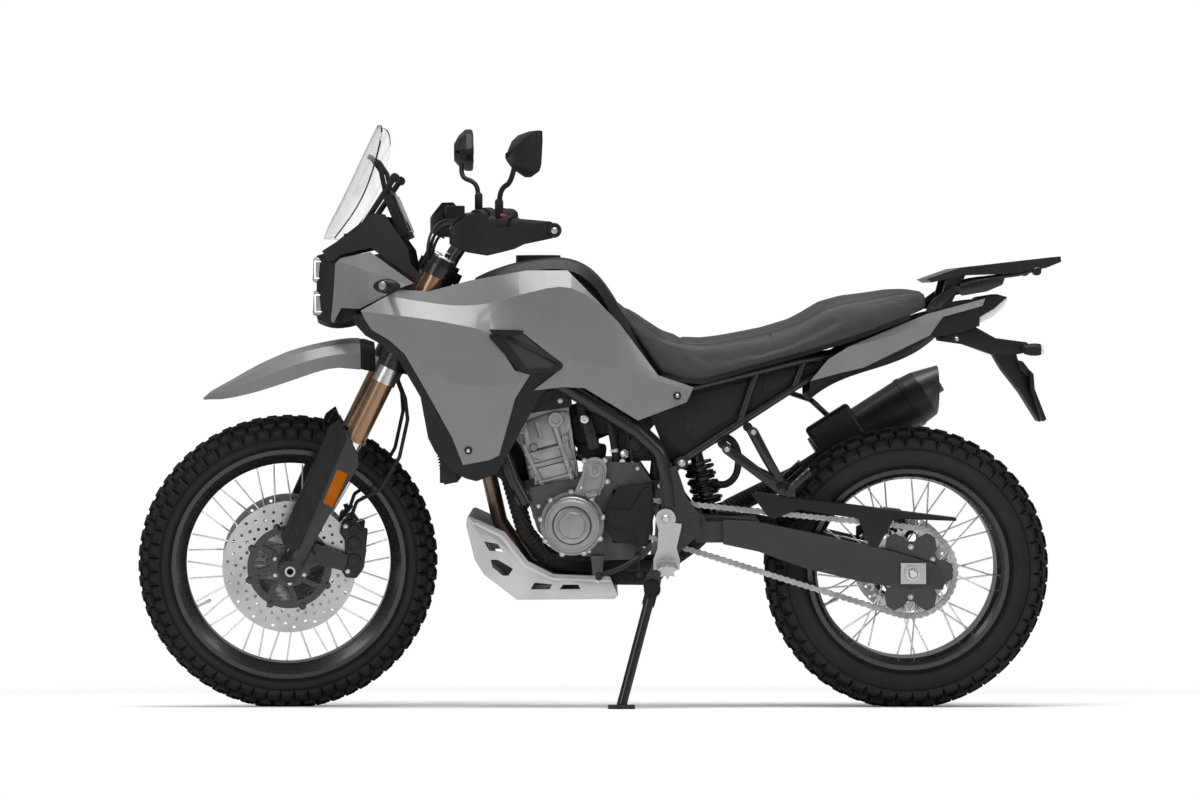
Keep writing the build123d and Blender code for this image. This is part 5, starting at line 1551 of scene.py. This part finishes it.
@dataclass
class ForkGuards:
    """Two-part fork guards with screws and a reflector on each."""

    face: float = -138.0

    def build(self) -> None:
        """Make both guards in place of the plain ones."""
        front = plate(((-630, 722), (-654, 704), (-682, 640), (-722, 535), (-772, 441),
                       (-764, 421), (-742, 408), (-728, 410), (-612, 676)),
                      self.face + 8, self.face - 1, 3.0)
        rear = plate(((-621, 704), (-588, 640), (-584, 611), (-652, 497), (-714, 386),
                      (-734, 380), (-746, 396), (-736, 412), (-618, 682)),
                     self.face + 10, self.face + 1, 3.5)
        wall = plate(((-632, 716), (-682, 636), (-770, 440), (-742, 404), (-714, 388),
                      (-586, 611), (-590, 640)), self.face + 34, self.face + 8, 3.0)
        ridge = plate(((-634, 700), (-662, 680), (-690, 606), (-728, 510), (-754, 440),
                       (-732, 440), (-690, 520), (-636, 654)), self.face - 1, self.face - 4, 2.0)
        fronts = mirrored(join([front, wall, ridge]))
        settle(fronts, "fork_guard_fronts", BLACK_MOULDED, Carrier.STEERING)
        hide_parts("fork_guards")
        settle(mirrored(rear), "fork_guard_backs", GUARD_PLASTIC, Carrier.STEERING)
        glass = padded_box((27, 5, 88), (-642, self.face - 0.5, 556), 2.2, (0, 24, 0))
        settle(mirrored(glass), "fork_reflectors", AMBER, Carrier.STEERING)
        spots = [((x, self.face - 3, z), 4.6)
                 for x, z in ((-664, 622), (-677, 594), (-718, 510), (-746, 450))]
        Fasteners("fork_guard_screws", SATIN_BLACK, Head.BUTTON, Carrier.STEERING).build(
            spots, both=True)


@dataclass
class FrontDiscs:
    """Drilled floating discs on windowed carriers."""

    rows: tuple[float, ...] = (108.0, 118.0, 128.0, 138.0, 148.0)
    holes: int = 18

    def drilled(self, side: int) -> Piece:
        """One disc with rings of drilled holes.

        Args:
            side: +1 right, -1 left.

        Returns:
            The disc.
        """
        ring = turned([(0, 99), (0, 160), (4, 160), (4, 99), (0, 99)], ORIGIN, UP, 96)
        holes = []
        for row, radius in enumerate(self.rows):
            for i in range(self.holes):
                a = tau * (i + 0.42 * row) / self.holes
                bpy.ops.mesh.primitive_cylinder_add(
                    vertices=10, radius=4.0, depth=12,
                    location=(radius * cos(a), radius * sin(a), 2))
                holes.append(fresh())
                bpy.ops.object.transform_apply(location=True)
        carve(ring, join(holes))
        ring.data.transform(facing((FRONT_HUB[0], side * 60, FRONT_HUB[1]), (0, side, 0)))
        return ring

    def carrier(self, side: int) -> Piece:
        """Windowed carrier with its spokes and bobbins.

        Args:
            side: +1 right, -1 left.

        Returns:
            The carrier.
        """
        x, z = FRONT_HUB
        out = (0, side, 0)
        made = [turned([(0, 84), (0, 101), (5, 101), (5, 84), (0, 84)], (x, side * 60, z),
                       out, 64),
                turned([(0, 30), (0, 50), (7, 48), (7, 30), (0, 30)], (x, side * 58, z),
                       out, 48)]
        for a in [tau * i / 8 for i in range(8)]:
            arm, bobbin = a + 0.12, a + 0.3
            made.append(padded_box((44, 5, 15), (x + 67 * cos(arm), side * 62, z + 67 * sin(arm)),
                                   2.0, (0, -degrees(a) - 18, 0)))
            made.append(turned([(0, 9), (6, 9), (7, 7), (7, 1)],
                               (x + 101 * cos(bobbin), side * 60, z + 101 * sin(bobbin)), out, 16))
        return join(made)

    def build(self) -> None:
        """Make both sides in place of the plain discs and carriers."""
        discs = join([self.drilled(1), self.drilled(-1)])
        settle(discs, "drilled_front_discs", DISC_STEEL, Carrier.FRONT_WHEEL, 20)
        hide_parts("front_discs")
        hubs = join([self.carrier(1), self.carrier(-1)])
        settle(hubs, "disc_carriers", GLOSS_BLACK, Carrier.FRONT_WHEEL)
        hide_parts("front_disc_carriers")
        spots = [((x, side * 65, z), 5.0, (0, side, 0))
                 for x, z in circle(FRONT_HUB, 40, 6, 30) for side in (1, -1)]
        Fasteners("disc_carrier_bolts", carrier=Carrier.FRONT_WHEEL).build(spots)


@dataclass
class Cockpit:
    """Display, fork caps, fluid cup, switches, cables and handguard ends."""

    clamp: float = 296.0
    leg_side: float = 105.0

    def fork_point(self, along: float, side: float, fore: float = 40.0) -> Vector:
        """Point on a fork leg's axis.

        Args:
            along: millimetres along it from the steering head.
            side: side offset.
            fore: distance ahead of the steering axis.

        Returns:
            The point.
        """
        axis = POSE.steering_axis()
        ahead = Vector((-axis.z, 0, axis.x))
        return Vector((POSE.steer_x, side, POSE.steer_z)) + axis * along + ahead * fore

    def fork_caps(self) -> None:
        """Clamp rings, cap rims and adjusters on both legs."""
        dark, bright = [], []
        way = POSE.steering_axis()
        for side in (self.leg_side, -self.leg_side):
            place = self.fork_point(self.clamp, side)
            dark.append(turned([(-48, 29.5), (-46, 31), (-24, 31), (-22, 29), (-4, 29), (-2, 28.0),
                                (-2, 1)], place, way, 40))
            bright.append(turned([(-2, 27.6), (1, 27.6), (2.4, 26), (2.4, 20), (0.6, 19),
                                  (0.6, 12), (4, 11.6), (5, 10), (5, 1)], place, way, 40))
            bright.append(turned([(-12, 26.2), (-12, 28.6), (36, 27.4), (38, 25.8)],
                                 self.fork_point(-22, side), way, 40))
        settle(join(dark), "fork_clamp_rings", SATIN_BLACK, Carrier.STEERING)
        settle(join(bright), "fork_caps", BOLT_STEEL, Carrier.STEERING)

    def display(self) -> None:
        """Glass and buttons of the instrument panel."""
        glass = padded_box((6, 150, 96), (-468, 0, 1201), 2.5, (0, -23, 0))
        settle(glass, "display_glass", DISPLAY)
        keys = [padded_box((5, 12, 5), (-461, y, 1146), 1.6, (0, -23, 0)) for y in (-60, 60)]
        settle(join(keys), "display_keys", RUBBER)

    def cups(self) -> None:
        """Brake fluid cup, clutch perch and start button."""
        cup = turned([(0, 17), (26, 20), (27, 22), (36, 22), (38, 20), (38, 1)], (-330, 250, 1168),
                     (0.1, 0, 1), 28)
        perch = padded_box((34, 40, 26), (-300, -236, 1186), 7.0, (0, 24, 0))
        settle(join([cup, perch]), "lever_perches", SATIN_BLACK, Carrier.STEERING)
        red = turned([(0, 7), (5, 7), (6, 5.5), (6, 1)], (-254, -268, 1204), (0.2, 0, 1), 16)
        settle(red, "start_switch_cap", START_RED, Carrier.STEERING)

    def cables(self) -> None:
        """Cables and brake line clipped along the bar and down to the upper clamp."""
        made = []
        for index in range(4):
            lift = 4.0 * index
            side = -1 if index % 2 else 1
            made.append(pipe(((-318, side * 214, 1176), (-352 - lift, side * 150, 1176 + lift),
                              (-390 - lift, side * 84, 1146 + lift), (-402 - lift, side * 48, 1092),
                              (-398, side * 30, 1062)), 3.6))
        settle(join(made), "control_cables", RUBBER, Carrier.STEERING)

    def bar_ends(self) -> None:
        """Round ends of the handguards with bright screws."""
        boss = turned([(0, 12), (2, 16.5), (16, 17), (20, 15), (21, 9), (21, 1)],
                      (-158, -442, 1180), LEFT, 32)
        settle(mirrored(boss), "handguard_ends", BLACK_MOULDED, Carrier.STEERING)
        Fasteners("bar_end_screws", carrier=Carrier.STEERING).build(
            [((-158, -463, 1180), 7.5)], both=True)

    def build(self) -> None:
        """Make all of it."""
        self.fork_caps()
        self.display()
        self.cups()
        self.cables()
        self.bar_ends()


@dataclass
class Mirrors:
    """Faceted mirror heads on their stems, with the glass facing the rider.

    Each section of the shell is its depth, scale and drop; each mount is its side, the
    middle of the glass, the foot of the stem and the lean in degrees.
    """

    outline: Outline = (
        (-78, -12), (-77, 6), (-30, 42), (38, 51), (80, 53), (82, 30), (74, -24), (62, -40),
        (14, -54), (-22, -46), (-64, -26))
    sections: tuple[tuple[float, float, float], ...] = (
        (10, 0.97, 0), (4, 1.0, 0), (-8, 0.99, 0), (-26, 0.72, -2), (-38, 0.40, -6))
    mounts: tuple[tuple, ...] = (
        (-1, (-210, -352, 1350), (-262, -258, 1208), 15.0),
        (1, (-278, 352, 1350), (-262, 258, 1208), 4.0))
    glass_share: float = 0.90

    def head(self, side: int) -> tuple[Piece, Piece]:
        """Shell and glass about the middle of the glass, which faces +X.

        Args:
            side: +1 right, -1 left.

        Returns:
            The shell and the glass.
        """
        rings = [[(depth, side * y * scale, z * scale + drop) for y, z in self.outline]
                 for depth, scale, drop in self.sections]
        shell = lofted(rings[::-1] if side > 0 else rings)
        round_edges(shell, 2.0, 25)
        share = self.glass_share
        rim = [[(10.4 + add, side * y * share, z * share) for y, z in self.outline]
               for add in (0, 0.8)]
        return shell, lofted(rim)

    def build(self) -> None:
        """Make both in place of the plain ones."""
        shells, glasses = [], []
        for side, place, base, lean in self.mounts:
            lean_out = Matrix.Rotation(radians(-side * lean), 4, "Z")
            shell, glass = self.head(side)
            for made in (shell, glass):
                made.data.transform(Matrix.Translation(Vector(place)) @ lean_out)
            foot = Vector(base)
            neck = Vector(place) + Vector((-22, -side * 46, -34))
            stem = pipe((foot, foot + Vector((0, 0, 40)),
                         foot + Vector((0.25 * (neck.x - foot.x), side * 12, 64)),
                         neck + Vector((-6, -side * 14, -34)), neck), 6.2)
            sleeve = turned([(-8, 8), (-4, 10), (30, 10), (34, 8.4), (36, 6.6)], foot, UP, 24)
            shells += [shell, stem, sleeve]
            glasses.append(glass)
        piece = settle(join(shells), "mirror_heads", BLACK_MOULDED, Carrier.STEERING, 28)
        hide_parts("mirrors")
        settle(join(glasses), "mirror_glasses", MIRROR, Carrier.STEERING)


@dataclass
class Tail:
    """Tail tip with its lens, the plate holder with indicators and the rack's lower rails."""

    def lamp(self) -> None:
        """Dark tail tip and the pale strip lens under it."""
        body = plate(((912, 990), (920, 997), (962, 1004), (987, 997), (977, 988), (951, 966),
                      (918, 946), (912, 950)), -46, 46, 2.0)
        settle(body, "tail_tip", BLACK_MOULDED)
        lens = plate(((905, 934), (914, 931), (952, 950), (978, 974), (988, 996), (980, 991),
                      (955, 969), (920, 949)), -47.5, 47.5, 1.5)
        settle(lens, "tail_lens", LAMP)
        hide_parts("tail_lamp")

    def plate_holder(self) -> None:
        """Arm, plate carrier with reinforcing steps and indicators on stalks."""
        arm = plate(((826, 901), (906, 929), (962, 898), (1037, 888), (1046, 880), (1044, 864),
                     (1012, 858), (957, 857), (888, 882), (826, 891)), -32, 32, 3.0)
        spine = plate(((950, 872), (1012, 862), (1022, 826), (1036, 818), (1040, 780), (1076, 700),
                       (1069, 694), (1025, 764), (981, 820)), -30, 30, 2.5)
        board = plate(((1040, 822), (1050, 812), (1053, 776), (1082, 702), (1072, 697),
                       (1044, 772)), -56, 56, 2.0)
        step = plate(((1010, 846), (1026, 842), (1046, 816), (1040, 806), (1018, 822)), -44, 44,
                     2.0)
        lamp = (1034, -122, 872)
        stalk = pipe(((1028, -28, 874), (1030, -60, 872), (1032, -108, 872)), 7.0)
        body = turned([(-24, 4), (-18, 11), (-4, 14.5), (10, 15), (19, 13.5), (20, 11)],
                      lamp, BACK, 28)
        ends = mirrored(join([stalk, body]))
        piece = settle(join([arm, spine, board, step, ends]), "plate_carrier", BLACK_MOULDED)
        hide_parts("plate_holder")
        lens = turned([(20, 13), (24, 12), (26, 9), (27, 1)], lamp, BACK, 28)
        settle(mirrored(lens), "rear_indicator_lenses", LAMP)
        Fasteners("plate_holder_bolts").build([((866, -33, 900), 6.0)], both=True)

    def rails(self) -> None:
        """Rails, end knobs and braces under the rack."""
        rail = pipe(((866, -92, 1026), (900, -92, 1038), (960, -92, 1045), (1030, -88, 1054),
                     (1050, -84, 1066)), 5.0)
        knob = turned([(-13, 8), (-11, 10), (11, 10), (13, 8)], (1050, -84, 1058), RIGHT, 20)
        brace = plate(((846, 1018), (890, 1034), (974, 1042), (968, 1026), (930, 1010),
                       (872, 1000)), -92, -84, 2.0)
        foot = plate(((786, 968), (800, 990), (850, 1026), (868, 1020), (826, 980), (822, 968)),
                     -96, -84, 2.0)
        settle(mirrored(join([rail, knob, brace, foot])), "rack_rails", FRAME_PAINT)
        Fasteners("rack_bolts", SATIN_BLACK).build(
            [((1056, -95, 1064), 5.0), ((806, -97, 980), 5.5)],
            both=True)

    def muffler_ring(self) -> None:
        """Bands round the muffler where its end cap starts and near its front."""
        way = (0.8418, 0.0, 0.5398)
        ring = turned([(-8, 66.4), (-6, 68), (4, 68), (6, 66.2)], (783, 192, 734), way, 56)
        strap = turned([(60, 66.6), (62, 68.4), (78, 68.4), (80, 66.6)], (560, 192, 591), way, 56)
        settle(join([ring, strap]), "muffler_bands", SATIN_BLACK)

    def build(self) -> None:
        """Make all of it."""
        self.lamp()
        self.plate_holder()
        self.rails()
        self.muffler_ring()


@dataclass
class Fender:
    """High front fender with its black bracket, whose black is partly painted shade where the
    fender meets the fork; each station is x, top, lower edge, half width.
    """

    shell: Stations = (
        (-950, 761, 757, 5), (-932, 777, 759, 20), (-905, 792, 761, 36), (-879, 806, 766, 47),
        (-846, 825, 774, 56), (-814, 842, 783, 62), (-783, 856, 793, 66), (-750, 870, 804, 69),
        (-718, 880, 815, 72), (-686, 888, 826, 74), (-656, 894, 834, 74), (-628, 899, 837, 73),
        (-600, 902, 834, 69), (-576, 902, 831, 64))
    bracket: Stations = ((-578, 900, 833, 62), (-564, 900, 829, 60), (-540, 892, 824, 54))

    def ring(self, x: float, top: float, low: float, half: float) -> list[tuple]:
        """Closed U-shaped section at one station.

        Args:
            x: place along the machine.
            top: height of the crown.
            low: height of the lower edges.
            half: half width at the lower edges.

        Returns:
            The section's corners.
        """
        rise = top - low
        crown, thick = top - 0.13 * rise, min(6.0, 0.5 * rise)
        outer = ((half, low), (half * 0.97, low + 0.52 * rise), (half * 0.70, crown), (0, top))
        inner = ((0, top - thick), (half * 0.92 - 2, low + 0.45 * rise), (half * 0.94, low))
        ring = [(x, y, z) for y, z in outer] + [(x, -y, z) for y, z in outer[-2::-1]]
        return ring + [(x, -y, z) for y, z in inner[::-1]] + [(x, y, z) for y, z in inner[1:]]

    def build(self) -> None:
        """Make both."""
        shell = settle(lofted([self.ring(*span) for span in self.shell]), "fender_shell",
                       GREY_PANEL, Carrier.STEERING, 24)
        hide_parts("front_fender")
        # the bracket is black, and its black is partly painted shade where the fender meets the
        # fork
        settle(lofted([self.ring(*span) for span in self.bracket]), "fender_bracket_painted_shade",
               BLACK_MOULDED, Carrier.STEERING)


# ------------------------------------------------------------------ body details
@dataclass
class PassengerBrackets:
    """Forged footrest brackets behind the engine, with folded rests."""

    def build(self) -> None:
        """Make both sides in place of the plain ones."""
        legs = [
            ((298, 640), (306, 647), (320, 640), (400, 578), (446, 556), (436, 536), (424, 534),
             (388, 562), (300, 628)),
            ((360, 680), (372, 688), (384, 680), (420, 610), (450, 556), (436, 548), (408, 594),
             (370, 664)),
            ((420, 556), (446, 562), (474, 542), (472, 520), (452, 508), (430, 530)),
        ]
        made = [plate(leg, -108, -121, 2.2) for leg in legs]
        for x, z in ((309, 636), (372, 677)):
            made.append(turned([(-104, 11.5), (-123, 11.5)], (x, 0, z), RIGHT, 24))
        made.append(padded_box((66, 24, 16), (480, -142, 562), 4.0, (0, -42, 0)))
        made.append(turned([(-10, 9), (10, 9)], (455, -132, 532), RIGHT, 20))
        piece = settle(mirrored(join(made)), "passenger_brackets", FRAME_PAINT)
        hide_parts("passenger_footrests")
        pads = [padded_box((6, 22, 3), (462 + 13 * i, -142, 554 + 12 * i), 1.0, (0, -42, 0))
                for i in range(4)]
        settle(mirrored(join(pads)), "passenger_rest_pads", CAST_ALLOY)


@dataclass
class SkidPlate:
    """Folded engine guard with a creased flange and slots in both cheeks."""

    outline: Outline = (
        (-310, 476), (-302, 478), (-219, 440), (-165, 371), (-104, 340), (30, 334), (50, 288),
        (40, 279), (-192, 278), (-270, 338), (-292, 374), (-312, 455))

    def build(self) -> None:
        """Make it in place of the plain one."""
        shell = plate(self.outline, -128, 128, 3.0)
        hollow = plate(((-316, 520), (-180, 560), (80, 470), (60, 320), (30, 300), (-188, 284),
                        (-264, 344), (-286, 380), (-304, 460)), -124, 124)
        slots = [((-270, 418), (-238, 412), (-224, 392), (-258, 396)),
                 ((-254, 374), (-237, 374), (-201, 352), (-212, 336), (-226, 336), (-250, 356)),
                 ((-159, 303), (-150, 319), (-108, 315), (-113, 303)),
                 ((-90, 303), (-82, 314), (-45, 314), (-41, 303))]
        for cutter in [hollow] + [plate(slot, -140, 140) for slot in slots]:
            carve(shell, cutter)
        flange = plate(((-306, 474), (-222, 434), (-168, 364), (-106, 333), (30, 327), (33, 320),
                        (-110, 325), (-176, 356), (-230, 426), (-304, 464)), -129.5, -127, 0.8)
        piece = settle(join([shell, mirrored(flange)]), "folded_skid_plate", BRUSHED_PLATE)
        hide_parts("skid_plate")
        Fasteners("skid_plate_bolts").build(
            [((0, -129, 322), 5.0), ((-296, -129, 462), 5.0)],
            both=True)


@dataclass
class BodyDetails:
    """Vent frames and bolts of the fairings."""

    vent: tuple[tuple[float, float, float], ...] = (
        (-253, -230, 923), (-171, -204, 921), (-80, -184, 838), (-83, -183, 829),
        (-102, -187, 819), (-178, -211, 823), (-250, -229, 904))
    mouth: tuple[tuple[float, float, float], ...] = (
        (-220, -219, 913), (-176, -208, 913), (-94, -187, 840), (-96, -187, 837),
        (-106, -190, 831), (-164, -208, 832), (-216, -220, 904))
    bolt: float = 7.0
    tail_bolt: tuple[float, float, float] = (850.0, -150.0, 898.0)

    def fairing_vent(self) -> None:
        """Raised frame round the vent with its sunk mouth."""
        rings = [[(x, y + sink, z) for x, y, z in outline] for outline, sink in (
            (self.vent, 9.0), (self.vent, -4.5), (self.mouth, -4.5), (self.mouth, 0.0))]
        settle(mirrored(lofted(rings)), "vent_frames", BLACK_MOULDED)
        floor = [[(x, y + sink, z) for x, y, z in self.mouth] for sink in (0.4, -0.8)]
        settle(mirrored(lofted(floor)), "vent_mouths", GUARD_PLASTIC)

    def bolts(self) -> None:
        """Fairing bolts in their cups on the panels, and the tail's bolt."""
        seats = [on_skin("side_fairings", x, z) for x, z in ((-302, 640), (190, 764))]
        seats.append((Vector(self.tail_bolt), Vector(LEFT)))
        Fasteners("fairing_bolt_cups", SATIN_BLACK, Head.BUTTON).build(
            [(place, self.bolt * 1.35, out) for place, out in seats], both=True)
        Fasteners("fairing_bolts").build(
            [(place + 3 * out, self.bolt * 0.8, out) for place, out in seats], both=True)

    def build(self) -> None:
        """Make all of it."""
        self.fairing_vent()
        self.bolts()


@dataclass
class FrontCalipers:
    """Brake calipers with piston bosses, bridge, pad pin and bolts."""

    def build(self) -> None:
        """Make both in place of the plain ones."""
        outline = ((-622, 470), (-596, 474), (-572, 440), (-566, 396), (-574, 350), (-590, 328),
                   (-618, 330), (-628, 352), (-616, 378), (-618, 420), (-630, 440))
        made = [plate(outline, -52, -86, 5.0)]
        for z, r in ((372, 17), (414, 17), (448, 12)):
            made.append(turned([(-84, r), (-90, r), (-92, r - 2), (-92, r - 6), (-90, r - 7),
                                (-90, 1)], (-596, 0, z), RIGHT, 28))
        made.append(padded_box((14, 26, 96), (-574, -70, 400), 4.0, (0, 6, 0)))
        made.append(turned([(-10, 6), (14, 6)], (-606, -74, 472), (-0.3, 0, 1), 16))
        piece = settle(mirrored(join(made)), "brake_calipers", SATIN_BLACK, Carrier.STEERING)
        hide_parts("front_calipers")
        Fasteners("caliper_bolts", carrier=Carrier.STEERING).build(
            [((-612, -87, 346), 5.5), ((-616, -87, 456), 5.5)],
            both=True)


# ------------------------------------------------------------------ light and camera
@dataclass
class Studio:
    """Pale floor, backdrop, soft lamps and the camera."""

    distance: float = 6.0
    height: float = 0.16
    view_width: float = 2.928
    sensor: float = 36.0
    aim: tuple[float, float, float] = (7.0, 0.0, 749.0)
    floor_size: float = 60.0
    ambient: float = 0.36
    clear: float = 1.5
    faded: float = 3.2
    lamps: tuple[tuple, ...] = (
        ("overhead_box", (0.0, -0.8, 4.2), (0, 0, 0.6), (3.6, 2.2), 215),
        ("front_box", (-3.2, -4.2, 2.6), (-0.2, 0, 0.7), (2.4, 2.4), 85),
        ("rear_box", (3.6, -3.2, 2.4), (0.4, 0, 0.7), (2.0, 2.0), 55))

    def seen_as_white(self, tree: bpy.types.NodeTree) -> Socket:
        """One for rays on which the surroundings look white.

        Args:
            tree: node tree to add to.

        Returns:
            The factor.
        """
        path = tree.nodes.new("ShaderNodeLightPath")
        either = tree.nodes.new("ShaderNodeMath")
        either.operation = "MAXIMUM"
        tree.links.new(path.outputs["Is Camera Ray"], either.inputs[0])
        tree.links.new(path.outputs["Is Transmission Ray"], either.inputs[1])
        return either.outputs[0]

    def floor_material(self) -> bpy.types.Material:
        """Matt white paper near the machine, fading to plain white further out.

        Returns:
            The material.
        """
        bench = NodeBench("studio_paper")
        bench.shader.inputs["Roughness"].default_value = 0.9
        tone = bench.ramp(bench.noise(0.7, 2.0), (0.93, 0.93, 0.93), (0.95, 0.95, 0.95))
        bench.link(tone, bench.shader.inputs["Base Color"])
        reach = bench.add("ShaderNodeVectorMath", operation="LENGTH")
        bench.link(bench.coord, reach.inputs[0])
        fade = bench.span(reach.outputs["Value"], From_Min=self.clear, From_Max=self.faded)
        both = bench.add("ShaderNodeMath", operation="MULTIPLY")
        bench.link(fade, both.inputs[0])
        bench.link(self.seen_as_white(bench.tree), both.inputs[1])
        white = bench.add("ShaderNodeEmission", Color=(1, 1, 1, 1), Strength=1.0)
        mix = bench.add("ShaderNodeMixShader")
        for out, socket in ((both, 0), (bench.shader, 1), (white, 2)):
            bench.link(out.outputs[0], mix.inputs[socket])
        bench.link(mix.outputs[0], bench.tree.nodes["Material Output"].inputs["Surface"])
        return bench.material

    def build_floor(self) -> None:
        """Lay the floor."""
        bpy.ops.mesh.primitive_plane_add(size=self.floor_size, location=ORIGIN)
        floor = bpy.context.active_object
        floor.name = "studio_floor"
        floor.data.materials.append(self.floor_material())

    def build_world(self) -> None:
        """Even ambient light that the camera sees as white, also through glass."""
        world = bpy.data.worlds.new("studio_world")
        bpy.context.scene.world = world
        world.use_nodes = True
        tree = world.node_tree
        mix = tree.nodes.new("ShaderNodeMixShader")
        tree.links.new(self.seen_as_white(tree), mix.inputs["Fac"])
        plain, seen = tree.nodes["Background"], tree.nodes.new("ShaderNodeBackground")
        for socket, (light, strength) in enumerate(((plain, self.ambient), (seen, 1.0)), 1):
            light.inputs["Color"].default_value = (1, 1, 1, 1)
            light.inputs["Strength"].default_value = strength
            tree.links.new(light.outputs[0], mix.inputs[socket])
        tree.links.new(mix.outputs[0], tree.nodes["World Output"].inputs["Surface"])

    def add_lamp(self, name: str, place: Point, aim: Point, size: tuple[float, float],
                 power: float) -> None:
        """Hang one soft box.

        Args:
            name: name of the lamp.
            place: position in metres.
            aim: point it faces.
            size: width and height in metres.
            power: watts.
        """
        bpy.ops.object.light_add(type="AREA", location=place)
        lamp = bpy.context.active_object
        lamp.name = name
        lamp.data.shape = "RECTANGLE"
        lamp.data.size, lamp.data.size_y = size
        lamp.data.energy = power
        way = Vector(aim) - Vector(place)
        lamp.rotation_euler = way.to_track_quat("-Z", "Y").to_euler()

    def build_camera(self) -> None:
        """Set the camera square to the leaning machine's side, just above the floor."""
        bike = POSE.fixed()
        target = bike @ Vector(self.aim)
        place = target + (bike.to_3x3() @ Vector(LEFT)).normalized() * self.distance
        place.z = self.height
        data = bpy.data.cameras.new("side_view")
        data.sensor_width = self.sensor
        data.lens = self.sensor * self.distance / self.view_width
        camera = bpy.data.objects.new("side_view", data)
        bpy.context.scene.collection.objects.link(camera)
        camera.location = place
        camera.rotation_euler = (target - place).to_track_quat("-Z", "Y").to_euler()
        bpy.context.scene.camera = camera

    def build(self) -> None:
        """Build the whole studio."""
        self.build_floor()
        self.build_world()
        for lamp in self.lamps:
            self.add_lamp(*lamp)
        self.build_camera()
        bpy.context.scene.view_settings.view_transform = "Standard"


def recolour_parts() -> None:
    """Give parts of CAD pieces their own finish."""
    x, z = REAR_HUB
    mix_finish("rear_sprocket", GLOSS_BLACK, lambda p: hypot(p.x - x, p.z - z) < 94,
               Carrier.REAR_WHEEL)
    mix_finish("engine_covers", BLACK_MOULDED, lambda p: p.y < 0 and p.x > 19 and p.z < 557)
    mix_finish("engine_cylinders", SATIN_BLACK, lambda p: p.z > 737 + 0.17 * (p.x + 64))
    mix_finish("rider_footrests", SATIN_BLACK, lambda p: p.x < 134)
    mix_finish("exhaust_header", HOT_STEEL, lambda p: p.y > 8 and p.x < 0)
    mix_finish("muffler", CAP_BLACK, lambda p: (p.x - 783) * 0.842 + (p.z - 734) * 0.54 > 42)


def main() -> None:
    """Build every sub-assembly in order."""
    logging.basicConfig(level=logging.INFO, format="%(name)s %(message)s")
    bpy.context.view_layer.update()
    bpy.ops.object.select_all(action="DESELECT")
    for finish, nodes in NODE_FINISHES.items():
        for node in nodes:
            finish.dress(node)
    recolour_parts()
    KnobbyTyre("front_tyre", Carrier.FRONT_WHEEL, FRONT_HUB, rolling=356.0, bead=268.5,
               half_bead=29.5, half_width=45.0, crown=41.0, count=60, knob=(30.5, 27.0),
               rows=(0.0, 35.0, 68.0)).build()
    KnobbyTyre("rear_tyre", Carrier.REAR_WHEEL, REAR_HUB, rolling=340.0, bead=231.0,
               half_bead=51.0, half_width=74.0, crown=72.0, count=50, knob=(36.0, 29.0),
               rows=(0.0, 25.0, 50.0)).build()
    RollerChain().build()
    saddle = Saddle()
    saddle.build()
    saddle.seam()
    saddle.base()
    for assembly in (InnerPanels, EngineDressing, RearDressing, WheelDressing, FrontLamps,
                     ForkGuards, FrontDiscs, Fender, PassengerBrackets, SkidPlate,
                     FrontCalipers, Cockpit, Mirrors, Tail, BodyDetails, Studio):
        assembly().build()


if __name__ == "__main__":
    main()
